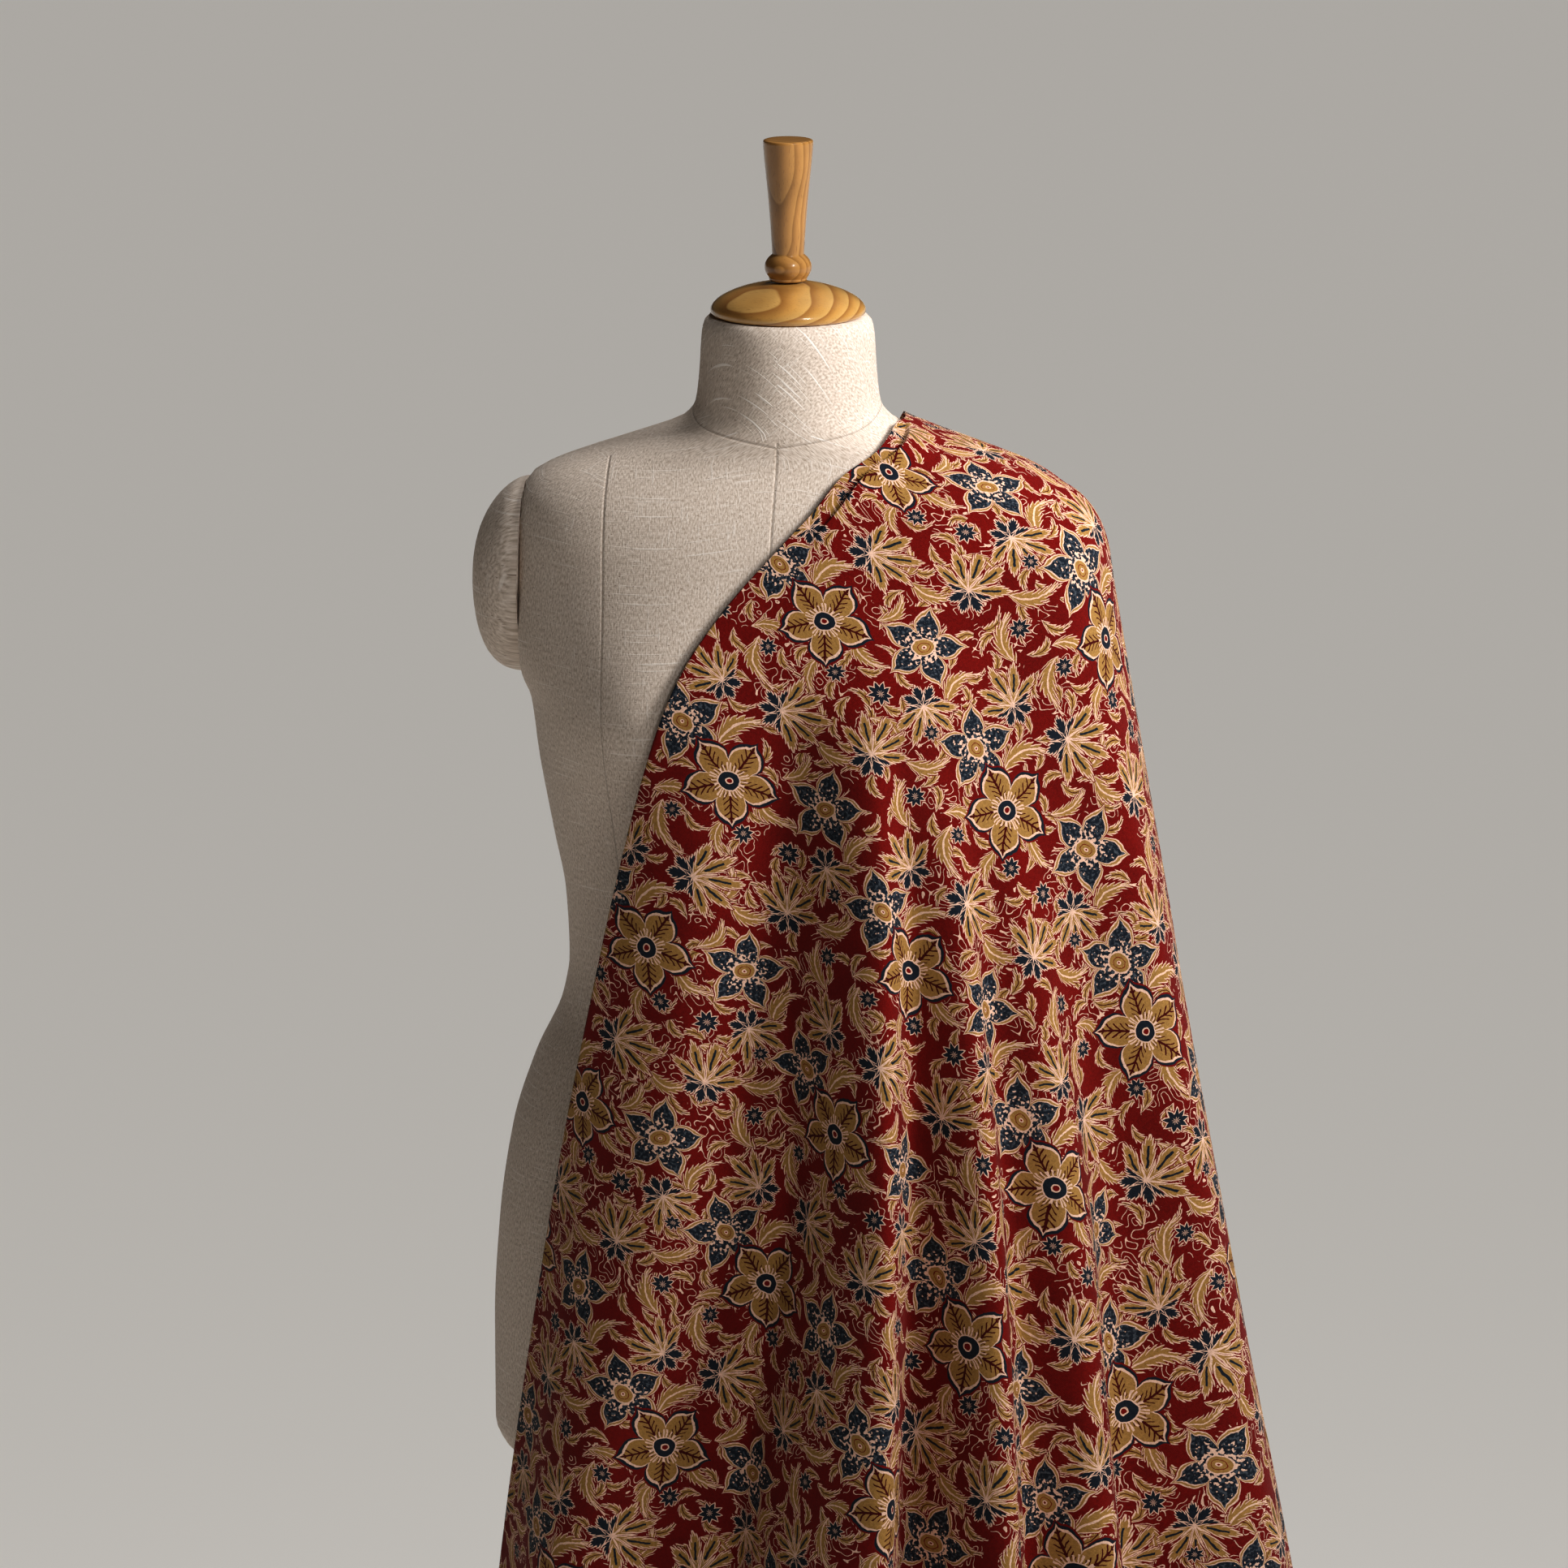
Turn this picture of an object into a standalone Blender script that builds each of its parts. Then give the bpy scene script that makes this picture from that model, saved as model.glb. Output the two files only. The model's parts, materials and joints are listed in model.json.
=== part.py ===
"""Printed cotton cloth draped over one shoulder of a linen-covered dress form.

Metres. The form faces -Y, +X is the draped side, +Z is up, and the origin is
the centre of the base's underside. The cloth is a polar surface about the
form's axis: it lies on the shoulder, hangs from whatever stands out furthest
above, flares as it falls, and carries a table of fold lines.
"""

import math

import bmesh
import bpy
import numpy as np

# Form
TORSO_BOTTOM = 0.750
NECK_TOP = 1.470
ARMHOLE_X = 0.160
TORSO_SIDES = 40
TORSO_STEP = 0.030
FIT_GAP = 0.0003
SHARP_ANGLE = math.radians(40.0)

# Horizontal sections of the form: z, half width, depth in front, depth behind,
# and the exponent of the superellipse, which is 2 for an ellipse.
TORSO_SECTIONS = (
    ("z", "half_width", "front", "back", "squareness"),
    (0.750, 0.1710, 0.100, 0.112, 2.3),
    (0.756, 0.1780, 0.106, 0.118, 2.3),
    (0.770, 0.1838, 0.112, 0.124, 2.3),
    (0.835, 0.1837, 0.118, 0.128, 2.3),
    (0.900, 0.1800, 0.116, 0.124, 2.3),
    (0.960, 0.1712, 0.110, 0.112, 2.3),
    (1.005, 0.1570, 0.103, 0.098, 2.3),
    (1.045, 0.1392, 0.098, 0.088, 2.3),
    (1.070, 0.1352, 0.096, 0.085, 2.3),
    (1.110, 0.1370, 0.098, 0.086, 2.3),
    (1.150, 0.1443, 0.103, 0.091, 2.3),
    (1.200, 0.1530, 0.109, 0.100, 2.3),
    (1.235, 0.1572, 0.110, 0.105, 2.4),
    (1.250, 0.1640, 0.109, 0.107, 2.4),
    (1.275, 0.1710, 0.107, 0.108, 2.4),
    (1.330, 0.1720, 0.092, 0.103, 2.4),
    (1.354, 0.1700, 0.081, 0.094, 2.3),
    (1.366, 0.1620, 0.073, 0.086, 2.2),
    (1.375, 0.1492, 0.066, 0.078, 2.1),
    (1.386, 0.1215, 0.059, 0.069, 2.0),
    (1.396, 0.0914, 0.056, 0.063, 2.0),
    (1.406, 0.0655, 0.055, 0.059, 2.0),
    (1.417, 0.0565, 0.054, 0.056, 2.0),
    (1.437, 0.0540, 0.053, 0.055, 2.0),
    (1.460, 0.0525, 0.052, 0.053, 2.0),
    (1.467, 0.0508, 0.050, 0.051, 2.0),
    (1.470, 0.0480, 0.048, 0.048, 2.0),
)
BUST_HEIGHT = 1.232
BUST_ANGLE = math.radians(57.0)
BUST_RISE = 0.024
BUST_SPREAD_ANGLE = math.radians(24.0)
BUST_SPREAD_HEIGHT = 0.052

# Padded caps that close the armholes
CAP_CENTRE_Z = 1.3060
CAP_HALF_HEIGHT = 0.0605
CAP_HALF_DEPTH = 0.052
CAP_BULGE = 0.0340
CAP_SQUARENESS = 2.2
CAP_DROOP = 0.4
CAP_EASE_DEPTH = 0.014
CAP_RINGS = 6
CAP_SIDES = 24

# Turned wood above the neck: radius and height of each profile point
NECK_CAP_PROFILE = (
    (0.0000, 0.0000),
    (0.0462, 0.0000),
    (0.0478, 0.0022),
    (0.0474, 0.0052),
    (0.0440, 0.0090),
    (0.0370, 0.0132),
    (0.0270, 0.0168),
    (0.0150, 0.0194),
    (0.0000, 0.0202),
)
FINIAL_PROFILE = (
    (0.0000, 0.0000),
    (0.0105, 0.0000),
    (0.0118, 0.0014),
    (0.0112, 0.0026),
    (0.0138, 0.0054),
    (0.0146, 0.0085),
    (0.0138, 0.0118),
    (0.0114, 0.0148),
    (0.0098, 0.0166),
    (0.0102, 0.0250),
    (0.0112, 0.0400),
    (0.0128, 0.0580),
    (0.0145, 0.0730),
    (0.0153, 0.0830),
    (0.0153, 0.0852),
    (0.0142, 0.0866),
    (0.0000, 0.0868),
)
TURNED_SIDES = 32

# Stand below the form
POLE_RADIUS = 0.0145
BASE_PROFILE = (
    (0.000, 0.000),
    (0.196, 0.000),
    (0.200, 0.004),
    (0.200, 0.016),
    (0.194, 0.023),
    (0.150, 0.028),
    (0.040, 0.034),
    (0.000, 0.034),
)
BASE_SIDES = 48

# Cloth
CLOTH_THICKNESS = 0.0014
CLOTH_CLEARANCE = 0.0036
CLOTH_TOP = 1.4090
CLOTH_COLUMNS = 76
CLOTH_ROWS = 24
COLUMN_CROWDING = 0.42
SHOULDER_DROP = 0.130
SHOULDER_SHARE = 0.5
SHOULDER_CROWDING = 1.25
SKIRT_CROWDING = 1.15
SOFTNESS = 0.0012
EDGE_HALVINGS = 24
LEVEL_STEP = 0.004
TURN_STEP = 2.0
LOWEST_LEVEL = 0.400
EASE_PASSES = 5
FOLD_LEVELS = (1.150, 0.940, 0.735)

# How far the cloth swings out for each metre that it falls, round the form
FLARE = (
    ("angle", "slope"),
    (-170, 0.03),
    (-120, 0.06),
    (-90, 0.09),
    (-58, 0.13),
    (-30, 0.17),
    (0, 0.178),
    (60, 0.15),
    (120, 0.08),
    (170, 0.04),
)

# The long edge that crosses the chest, and the one that falls behind
FRONT_EDGE = (
    ("z", "x"),
    (1.409, 0.0690),
    (1.398, 0.0618),
    (1.383, 0.0405),
    (1.364, 0.0250),
    (1.346, 0.0080),
    (1.308, -0.0255),
    (1.271, -0.0500),
    (1.233, -0.0650),
    (1.153, -0.0865),
    (1.071, -0.1048),
    (0.966, -0.1269),
    (0.835, -0.1503),
    (0.702, -0.1713),
    (0.450, -0.2060),
)
BACK_EDGE = (
    ("z", "x"),
    (1.409, 0.0690),
    (1.394, 0.0600),
    (1.370, 0.0400),
    (1.330, 0.0080),
    (1.270, -0.0300),
    (1.150, -0.0700),
    (0.950, -0.1050),
    (0.700, -0.1450),
    (0.450, -0.1800),
)

# Height of the hem round the form
HEM = (
    ("angle", "z"),
    (-170, 0.520),
    (-120, 0.497),
    (-70, 0.466),
    (-20, 0.452),
    (40, 0.462),
    (100, 0.490),
    (170, 0.515),
)

# Fold lines in order round the form. The angles are at the three FOLD_LEVELS,
# start is the height where the fold fades in, and size is how far a crest
# stands out, or a valley draws in, at the lowest level.
FOLDS = (
    ("name", "upper", "middle", "lower", "start", "size"),
    ("front_edge", -128, -142, -158, 1.30, -0.004),
    ("front_panel", -107, -111, -127, 1.30, 0.016),
    ("deep_valley", -83, -84, -99, 1.28, -0.040),
    ("bust_crest", -64, -67, -70, 1.26, 0.048),
    ("bust_valley", -56, -58, -62, 1.26, -0.010),
    ("second_crest", -48, -50, -53, 1.20, 0.046),
    ("second_valley", -41, -42, -45, 1.20, 0.000),
    ("side_crest", -35, -36, -39, 1.18, 0.038),
    ("side_valley", -22, -21, -24, 1.28, -0.038),
    ("last_crest", -14, -14, -15, 1.26, 0.022),
    ("side_hollow", 4, 5, 6, 1.10, -0.008),
    ("behind_crest", 24, 22, 20, 1.22, 0.020),
    ("behind_valley", 44, 42, 40, 1.24, -0.016),
    ("blade_crest", 62, 60, 58, 1.24, 0.028),
    ("blade_valley", 82, 80, 78, 1.20, -0.022),
    ("back_crest", 104, 102, 100, 1.16, 0.022),
    ("back_valley", 126, 124, 122, 1.10, -0.012),
    ("back_edge", 150, 150, 148, 1.10, 0.006),
)

CLOTH_RED = (0.19, 0.022, 0.020)
LINEN = (0.46, 0.40, 0.34)
WOOD = (0.52, 0.29, 0.10)
DARK_WOOD = (0.25, 0.13, 0.06)


def clear_scene():
    for old in list(bpy.data.objects):
        bpy.data.objects.remove(old, do_unlink=True)


def make_material(name, colour, roughness, metallic=0.0):
    material = bpy.data.materials.new(name)
    material.use_nodes = True
    shader = material.node_tree.nodes["Principled BSDF"]
    shader.inputs["Base Color"].default_value = (*colour, 1.0)
    shader.inputs["Roughness"].default_value = roughness
    shader.inputs["Metallic"].default_value = metallic
    return material


def make_object(name, mesh_data, material):
    """Turn a bmesh into a named object with its material."""
    bmesh.ops.recalc_face_normals(mesh_data, faces=mesh_data.faces)
    mesh = bpy.data.meshes.new(name)
    mesh_data.to_mesh(mesh)
    mesh_data.free()
    mesh.materials.append(material)
    mesh.shade_smooth()
    mesh.set_sharp_from_angle(angle=SHARP_ANGLE)
    item = bpy.data.objects.new(name, mesh)
    bpy.context.scene.collection.objects.link(item)
    return item


def read_table(table, column, at):
    """Smooth value of a table's column at the places given, by its first column."""
    header, *rows = table
    index = header.index(column)
    rows = sorted(rows)
    x = np.array([row[0] for row in rows], float)
    y = np.array([row[index] for row in rows], float)
    chords = np.diff(y) / np.diff(x)
    slopes = np.zeros_like(y)
    slopes[0] = chords[0]
    slopes[-1] = chords[-1]
    for i in range(1, len(y) - 1):
        if chords[i - 1] * chords[i] > 0:
            slopes[i] = 2.0 * chords[i - 1] * chords[i] / (chords[i - 1] + chords[i])
    at = np.clip(np.asarray(at, float), x[0], x[-1])
    k = np.clip(np.searchsorted(x, at, side="right") - 1, 0, len(x) - 2)
    width = x[k + 1] - x[k]
    t = (at - x[k]) / width
    return (
        (2 * t**3 - 3 * t**2 + 1) * y[k]
        + (t**3 - 2 * t**2 + t) * width * slopes[k]
        + (3 * t**2 - 2 * t**3) * y[k + 1]
        + (t**3 - t**2) * width * slopes[k + 1]
    )


def torso_radius(z, angle):
    """Distance from the axis to the form's surface, at a height and an angle."""
    half_width = read_table(TORSO_SECTIONS, "half_width", z)
    front = read_table(TORSO_SECTIONS, "front", z)
    back = read_table(TORSO_SECTIONS, "back", z)
    power = read_table(TORSO_SECTIONS, "squareness", z)
    cosine = np.abs(np.cos(angle))
    sine = np.abs(np.sin(angle))
    depth = np.where(np.sin(angle) < 0, front, back)
    radius = ((cosine / half_width) ** power + (sine / depth) ** power) ** (-1 / power)
    for side in (-1, 1):
        centre = -math.pi / 2 + side * (math.pi / 2 - BUST_ANGLE)
        away = ((angle - centre + math.pi) % (2 * math.pi) - math.pi) / BUST_SPREAD_ANGLE
        height = (z - BUST_HEIGHT) / BUST_SPREAD_HEIGHT
        radius = radius + BUST_RISE * np.exp(-(away**2) - height**2)
    flat = ARMHOLE_X / np.maximum(cosine, 1e-6)
    armhole = (z > BUST_HEIGHT) & (flat < radius)
    return np.where(armhole, flat, radius)


def cap_bulge(y, z, ease=0.0):
    """How far an arm cap stands out from its armhole, fuller below its middle.

    Ease is the slack of the cloth that passes over it, in depth.
    """
    half_depth = CAP_HALF_DEPTH + ease
    rise = np.clip((z - CAP_CENTRE_Z) / CAP_HALF_HEIGHT, -1.0, 1.0)
    power = CAP_SQUARENESS - CAP_DROOP * rise
    reach = np.hypot(y / half_depth, (z - CAP_CENTRE_Z) / CAP_HALF_HEIGHT)
    inside = np.clip(1.0 - reach**power, 0.0, 1.0)
    return CAP_BULGE * inside ** (1.0 / power)


def support_radius(z, angle, ease=0.0):
    """Distance from the axis to whatever the cloth can lie on."""
    radius = torso_radius(z, angle)
    facing = np.cos(angle) > 0.5
    slant = np.where(facing, np.tan(angle), 0.0)
    x = np.full(np.shape(z), ARMHOLE_X)
    for _ in range(3):
        x = ARMHOLE_X + cap_bulge(x * slant, z, ease)
    cap = np.where(facing & (x > ARMHOLE_X), x / np.maximum(np.cos(angle), 0.5), 0.0)
    radius = np.maximum(radius, cap)
    return np.where((z < TORSO_BOTTOM) | (z > CLOTH_TOP), 0.0, radius)


def fold_size(z, angle):
    """How far the folds move the cloth in or out, from the table of fold lines."""
    header, *rows = FOLDS
    turn = np.degrees(angle)
    level = np.array(sorted(FOLD_LEVELS))
    centres = []
    sizes = []
    for row in rows:
        fold = dict(zip(header, row))
        places = [fold["lower"], fold["middle"], fold["upper"]]
        centres.append(np.interp(z, level, places))
        fall = (fold["start"] - z) / (fold["start"] - level[0])
        sizes.append(fold["size"] * np.clip(fall, 0.0, 1.5) ** 0.8)
    result = np.where(turn < centres[0], sizes[0], sizes[-1])
    for i in range(len(rows) - 1):
        t = (turn - centres[i]) / (centres[i + 1] - centres[i])
        ease = t * t * (3 - 2 * t)
        between = (t >= 0) & (t <= 1)
        result = np.where(between, sizes[i] + (sizes[i + 1] - sizes[i]) * ease, result)
    return result


def soft_max(first, second):
    """The larger of two lengths, with the corner between them rounded."""
    return SOFTNESS * np.logaddexp(first / SOFTNESS, second / SOFTNESS)


def stretch_across(radius, turns):
    """Bridge the hollows of each horizontal section, as taut cloth does."""
    facing = np.cos(turns[:, None] - turns[None, :])
    reach = np.max(radius[:, :, None] * facing[None, :, :], axis=1)
    ahead = facing > 0.05
    limit = np.where(ahead[None, :, :], reach[:, None, :] / np.where(ahead, facing, 1.0), 9.0)
    return np.min(limit, axis=2)


def hanging_surface():
    """Radius of the cloth before its folds, on a grid of heights and angles."""
    heights = np.arange(LOWEST_LEVEL, CLOTH_TOP + LEVEL_STEP, LEVEL_STEP)
    turns = np.radians(np.arange(-180.0, 180.0, TURN_STEP))
    z, angle = np.meshgrid(heights, turns, indexing="ij")
    support = support_radius(z - CLOTH_CLEARANCE, angle, CAP_EASE_DEPTH)
    lying = stretch_across(support, turns)
    lying = lying + CLOTH_CLEARANCE
    swing = read_table(FLARE, "slope", np.degrees(turns)) * LEVEL_STEP
    for i in range(len(heights) - 2, -1, -1):
        lying[i] = np.maximum(lying[i], lying[i + 1] + swing)
    for _ in range(EASE_PASSES):
        around = (np.roll(lying, 1, axis=1) + np.roll(lying, -1, axis=1)) / 2
        padded = np.vstack([2 * lying[:1] - lying[1:2], lying, 2 * lying[-1:] - lying[-2:-1]])
        along = (padded[:-2] + padded[2:]) / 2
        lying = (2 * lying + around + along) / 4
    return heights, turns, lying


def sample_surface(surface, z, angle):
    """Read the grid of radii between its points."""
    heights, turns, radius = surface
    row = np.clip((z - heights[0]) / LEVEL_STEP, 0, len(heights) - 1.001)
    column = (angle - turns[0]) / math.radians(TURN_STEP)
    i = row.astype(int)
    j = np.floor(column).astype(int)
    s = row - i
    t = column - j
    left = j % len(turns)
    right = (j + 1) % len(turns)
    lower = radius[i, left] * (1 - t) + radius[i, right] * t
    upper = radius[i + 1, left] * (1 - t) + radius[i + 1, right] * t
    return lower * (1 - s) + upper * s


SURFACE = hanging_surface()


def cloth_radius(z, angle):
    """Distance from the axis to the outside of the cloth."""
    hanging = sample_surface(SURFACE, z, angle) + fold_size(z, angle)
    resting = support_radius(z - CLOTH_CLEARANCE, angle) + CLOTH_CLEARANCE
    return soft_max(hanging, resting)


def fall_height(share, angle):
    """Height of a place on the cloth: share runs from its top edge to its hem."""
    shoulder = np.clip(share / SHOULDER_SHARE, 0.0, 1.0) ** SHOULDER_CROWDING
    below = np.clip((share - SHOULDER_SHARE) / (1 - SHOULDER_SHARE), 0.0, 1.0)
    skirt_top = CLOTH_TOP - SHOULDER_DROP
    skirt = (skirt_top - read_table(HEM, "z", np.degrees(angle))) * below**SKIRT_CROWDING
    return CLOTH_TOP - SHOULDER_DROP * shoulder - skirt


def edge_angle(share, table, side):
    """Angles at which the rows meet the front or back edge of the cloth."""
    near = np.full(len(share), math.radians(1.0) * side)
    far = np.full(len(share), math.radians(178.0) * side)
    for _ in range(EDGE_HALVINGS):
        middle = (near + far) / 2
        z = fall_height(share, middle)
        x = cloth_radius(z, middle) * np.cos(middle)
        short = x > read_table(table, "x", z)
        near = np.where(short, middle, near)
        far = np.where(short, far, middle)
    return (near + far) / 2


def cloth_grid(columns, rows):
    """Rows of points over the draped cloth, from its top edge to its hem."""
    u = np.linspace(0.0, 1.0, columns + 1)
    across = u * (1 - COLUMN_CROWDING) + COLUMN_CROWDING * u**2
    share = np.linspace(0.0, 1.0, rows + 1)
    start = edge_angle(share, FRONT_EDGE, -1)
    end = edge_angle(share, BACK_EDGE, 1)
    angle = start[:, None] + (end - start)[:, None] * across[None, :]
    z = fall_height(share[:, None], angle)
    radius = cloth_radius(z.ravel(), angle.ravel()).reshape(z.shape)
    return np.stack([radius * np.cos(angle), radius * np.sin(angle), z], axis=2)


def build_cloth(material):
    mesh_data = bmesh.new()
    rows = [
        [mesh_data.verts.new(point) for point in row]
        for row in cloth_grid(CLOTH_COLUMNS, CLOTH_ROWS)
    ]
    for upper, lower in zip(rows, rows[1:]):
        for i in range(CLOTH_COLUMNS):
            mesh_data.faces.new((upper[i], lower[i], lower[i + 1], upper[i + 1]))
    cloth = make_object("kalamkari_cloth", mesh_data, material)
    solid = cloth.modifiers.new("thickness", "SOLIDIFY")
    solid.thickness = CLOTH_THICKNESS
    solid.offset = -1.0
    solid.use_even_offset = True
    return cloth


def section_heights():
    """The heights of the form's rings: each section, with steps between the far ones."""
    known = sorted(row[0] for row in TORSO_SECTIONS[1:])
    heights = [known[0]]
    for low, high in zip(known, known[1:]):
        parts = max(1, round((high - low) / TORSO_STEP))
        heights += [low + (high - low) * (k + 1) / parts for k in range(parts)]
    return heights


def build_torso(material):
    mesh_data = bmesh.new()
    angle = np.arange(TORSO_SIDES) * 2 * math.pi / TORSO_SIDES
    rings = []
    for z in section_heights():
        radius = torso_radius(np.full(TORSO_SIDES, z), angle)
        ring = [
            mesh_data.verts.new((r * math.cos(a), r * math.sin(a), z))
            for r, a in zip(radius, angle)
        ]
        rings.append(ring)
    for lower, upper in zip(rings, rings[1:]):
        for i in range(TORSO_SIDES):
            j = (i + 1) % TORSO_SIDES
            mesh_data.faces.new((lower[i], lower[j], upper[j], upper[i]))
    mesh_data.faces.new(rings[0])
    mesh_data.faces.new(rings[-1])
    return make_object("torso", mesh_data, material)


def build_arm_cap(name, side, material):
    """A padded dome with a flat face against the armhole."""
    mesh_data = bmesh.new()
    plane = ARMHOLE_X + FIT_GAP
    rings = []
    for k in range(CAP_RINGS):
        size = math.sin((1 - k / CAP_RINGS) * math.pi / 2)
        ring = []
        for i in range(CAP_SIDES):
            turn = 2 * math.pi * i / CAP_SIDES
            y = CAP_HALF_DEPTH * size * math.cos(turn)
            z = CAP_CENTRE_Z + CAP_HALF_HEIGHT * size * math.sin(turn)
            bulge = float(cap_bulge(y, z)) if k else 0.0
            ring.append(mesh_data.verts.new((side * (plane + bulge), y, z)))
        rings.append(ring)
    tip = mesh_data.verts.new((side * (plane + CAP_BULGE), 0.0, CAP_CENTRE_Z))
    for outer, inner in zip(rings, rings[1:]):
        for i in range(CAP_SIDES):
            j = (i + 1) % CAP_SIDES
            mesh_data.faces.new((outer[i], outer[j], inner[j], inner[i]))
    for i in range(CAP_SIDES):
        mesh_data.faces.new((rings[-1][i], rings[-1][(i + 1) % CAP_SIDES], tip))
    mesh_data.faces.new(rings[0])
    return make_object(name, mesh_data, material)


def build_turned(name, profile, bottom, sides, material):
    """A turned piece: its profile spun about the form's axis."""
    mesh_data = bmesh.new()
    points = [mesh_data.verts.new((radius, 0.0, bottom + z)) for radius, z in profile]
    edges = [mesh_data.edges.new(pair) for pair in zip(points, points[1:])]
    bmesh.ops.spin(
        mesh_data,
        geom=points + edges,
        cent=(0.0, 0.0, 0.0),
        axis=(0.0, 0.0, 1.0),
        angle=2 * math.pi,
        steps=sides,
        use_merge=True,
    )
    bmesh.ops.remove_doubles(mesh_data, verts=mesh_data.verts, dist=1e-6)
    return make_object(name, mesh_data, material)


def build():
    clear_scene()
    cotton = make_material("printed_cotton", CLOTH_RED, 0.85)
    linen = make_material("linen_cover", LINEN, 0.9)
    turned = make_material("varnished_wood", WOOD, 0.35)
    stained = make_material("stained_wood", DARK_WOOD, 0.5)

    build_turned("stand_base", BASE_PROFILE, 0.0, BASE_SIDES, stained)
    pole_bottom = BASE_PROFILE[-1][1] + FIT_GAP
    pole_length = TORSO_BOTTOM - FIT_GAP - pole_bottom
    pole = ((0.0, 0.0), (POLE_RADIUS, 0.0), (POLE_RADIUS, pole_length), (0.0, pole_length))
    build_turned("stand_pole", pole, pole_bottom, TURNED_SIDES, stained)

    build_torso(linen)
    build_arm_cap("arm_cap_bare", -1, linen)
    build_arm_cap("arm_cap_draped", 1, linen)

    cap_bottom = NECK_TOP + FIT_GAP
    build_turned("neck_cap", NECK_CAP_PROFILE, cap_bottom, TURNED_SIDES, turned)
    finial_bottom = cap_bottom + NECK_CAP_PROFILE[-1][1] + FIT_GAP
    build_turned("finial", FINIAL_PROFILE, finial_bottom, TURNED_SIDES, turned)

    build_cloth(cotton)


build()
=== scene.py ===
# %% [markdown]
# # A printed cotton cloth on a dress form
# The object is a length of block-printed cotton, thrown over one shoulder of a
# linen-covered dress form with a turned wooden handle. Its solids come packed as
# a frame. This script dresses them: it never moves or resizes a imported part, and
# where a solid is too plain to be seen it builds a finer piece in its place.

import json
import math

import bmesh
import bpy
import numpy as np
from mathutils import Matrix, Vector

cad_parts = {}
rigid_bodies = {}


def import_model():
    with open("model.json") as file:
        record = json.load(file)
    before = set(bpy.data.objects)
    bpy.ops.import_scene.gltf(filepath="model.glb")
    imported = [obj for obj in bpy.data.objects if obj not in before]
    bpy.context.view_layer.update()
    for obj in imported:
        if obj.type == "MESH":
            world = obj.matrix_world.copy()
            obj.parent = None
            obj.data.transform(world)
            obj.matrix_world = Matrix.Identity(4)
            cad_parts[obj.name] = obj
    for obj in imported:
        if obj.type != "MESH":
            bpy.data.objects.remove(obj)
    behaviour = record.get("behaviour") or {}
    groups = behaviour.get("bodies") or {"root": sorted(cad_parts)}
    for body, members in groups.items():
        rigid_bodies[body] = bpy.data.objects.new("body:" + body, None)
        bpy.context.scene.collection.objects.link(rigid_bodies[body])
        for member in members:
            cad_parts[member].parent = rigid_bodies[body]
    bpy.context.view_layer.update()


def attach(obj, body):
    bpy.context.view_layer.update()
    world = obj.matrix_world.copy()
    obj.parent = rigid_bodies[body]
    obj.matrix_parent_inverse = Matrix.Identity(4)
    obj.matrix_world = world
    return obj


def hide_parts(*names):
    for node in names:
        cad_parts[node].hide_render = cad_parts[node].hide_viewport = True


for leftover in list(bpy.data.objects):
    bpy.data.objects.remove(leftover, do_unlink=True)
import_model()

# %% [markdown]
# ## Camera
# The photograph was taken a little from the form's own left and from above, with
# a long lens, so that the shoulders stay level and the hem isn't stretched. The
# view is 966 mm wide where the form stands, which is half a millimetre for each
# of its 1932 pixels, and the form's axis is five pixels right of its middle. The
# plain view transform keeps the colours as picked, with a little more contrast,
# because the photograph's folds are nearly black.

# %% Camera
PHOTO_PIXELS = 1932
METRES_PER_PIXEL = 0.0005
AXIS_OFFSET_PIXELS = 5
CAMERA_TURN = math.radians(7.0)
CAMERA_RISE = math.radians(13.0)
CAMERA_DISTANCE = 5.0
AIM_HEIGHT = 1.1772

to_right = Vector((math.cos(CAMERA_TURN), math.sin(CAMERA_TURN), 0.0))
to_camera = Vector((
    math.sin(CAMERA_TURN) * math.cos(CAMERA_RISE),
    -math.cos(CAMERA_TURN) * math.cos(CAMERA_RISE),
    math.sin(CAMERA_RISE),
))
aim = Vector((0.0, 0.0, AIM_HEIGHT)) - to_right * AXIS_OFFSET_PIXELS * METRES_PER_PIXEL
lens = bpy.data.cameras.new("camera")
lens.angle = 2 * math.atan(PHOTO_PIXELS * METRES_PER_PIXEL / 2 / CAMERA_DISTANCE)
camera = bpy.data.objects.new("camera", lens)
camera.location = aim + to_camera * CAMERA_DISTANCE
camera.rotation_euler = (-to_camera).to_track_quat("-Z", "Y").to_euler()
bpy.context.scene.collection.objects.link(camera)
bpy.context.scene.camera = camera
bpy.context.scene.view_settings.view_transform = "Standard"
bpy.context.scene.view_settings.look = "Medium High Contrast"
print("camera at", camera.location[:], "sees", round(math.degrees(lens.angle), 2), "degrees")

# %% [markdown]
# ## The form's surface
# A dress form is a hard shell with a cover sewn tightly over it. Its shape is
# easiest to give as a stack of horizontal sections: a half width, a depth in
# front and a depth behind at each height, joined by a smooth curve. Each section
# is a superellipse, which is an ellipse with slightly squared corners, and two
# soft swellings make the bust. The solids of the frame use the same table, so a
# finer skin made from it lies on them.

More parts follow.
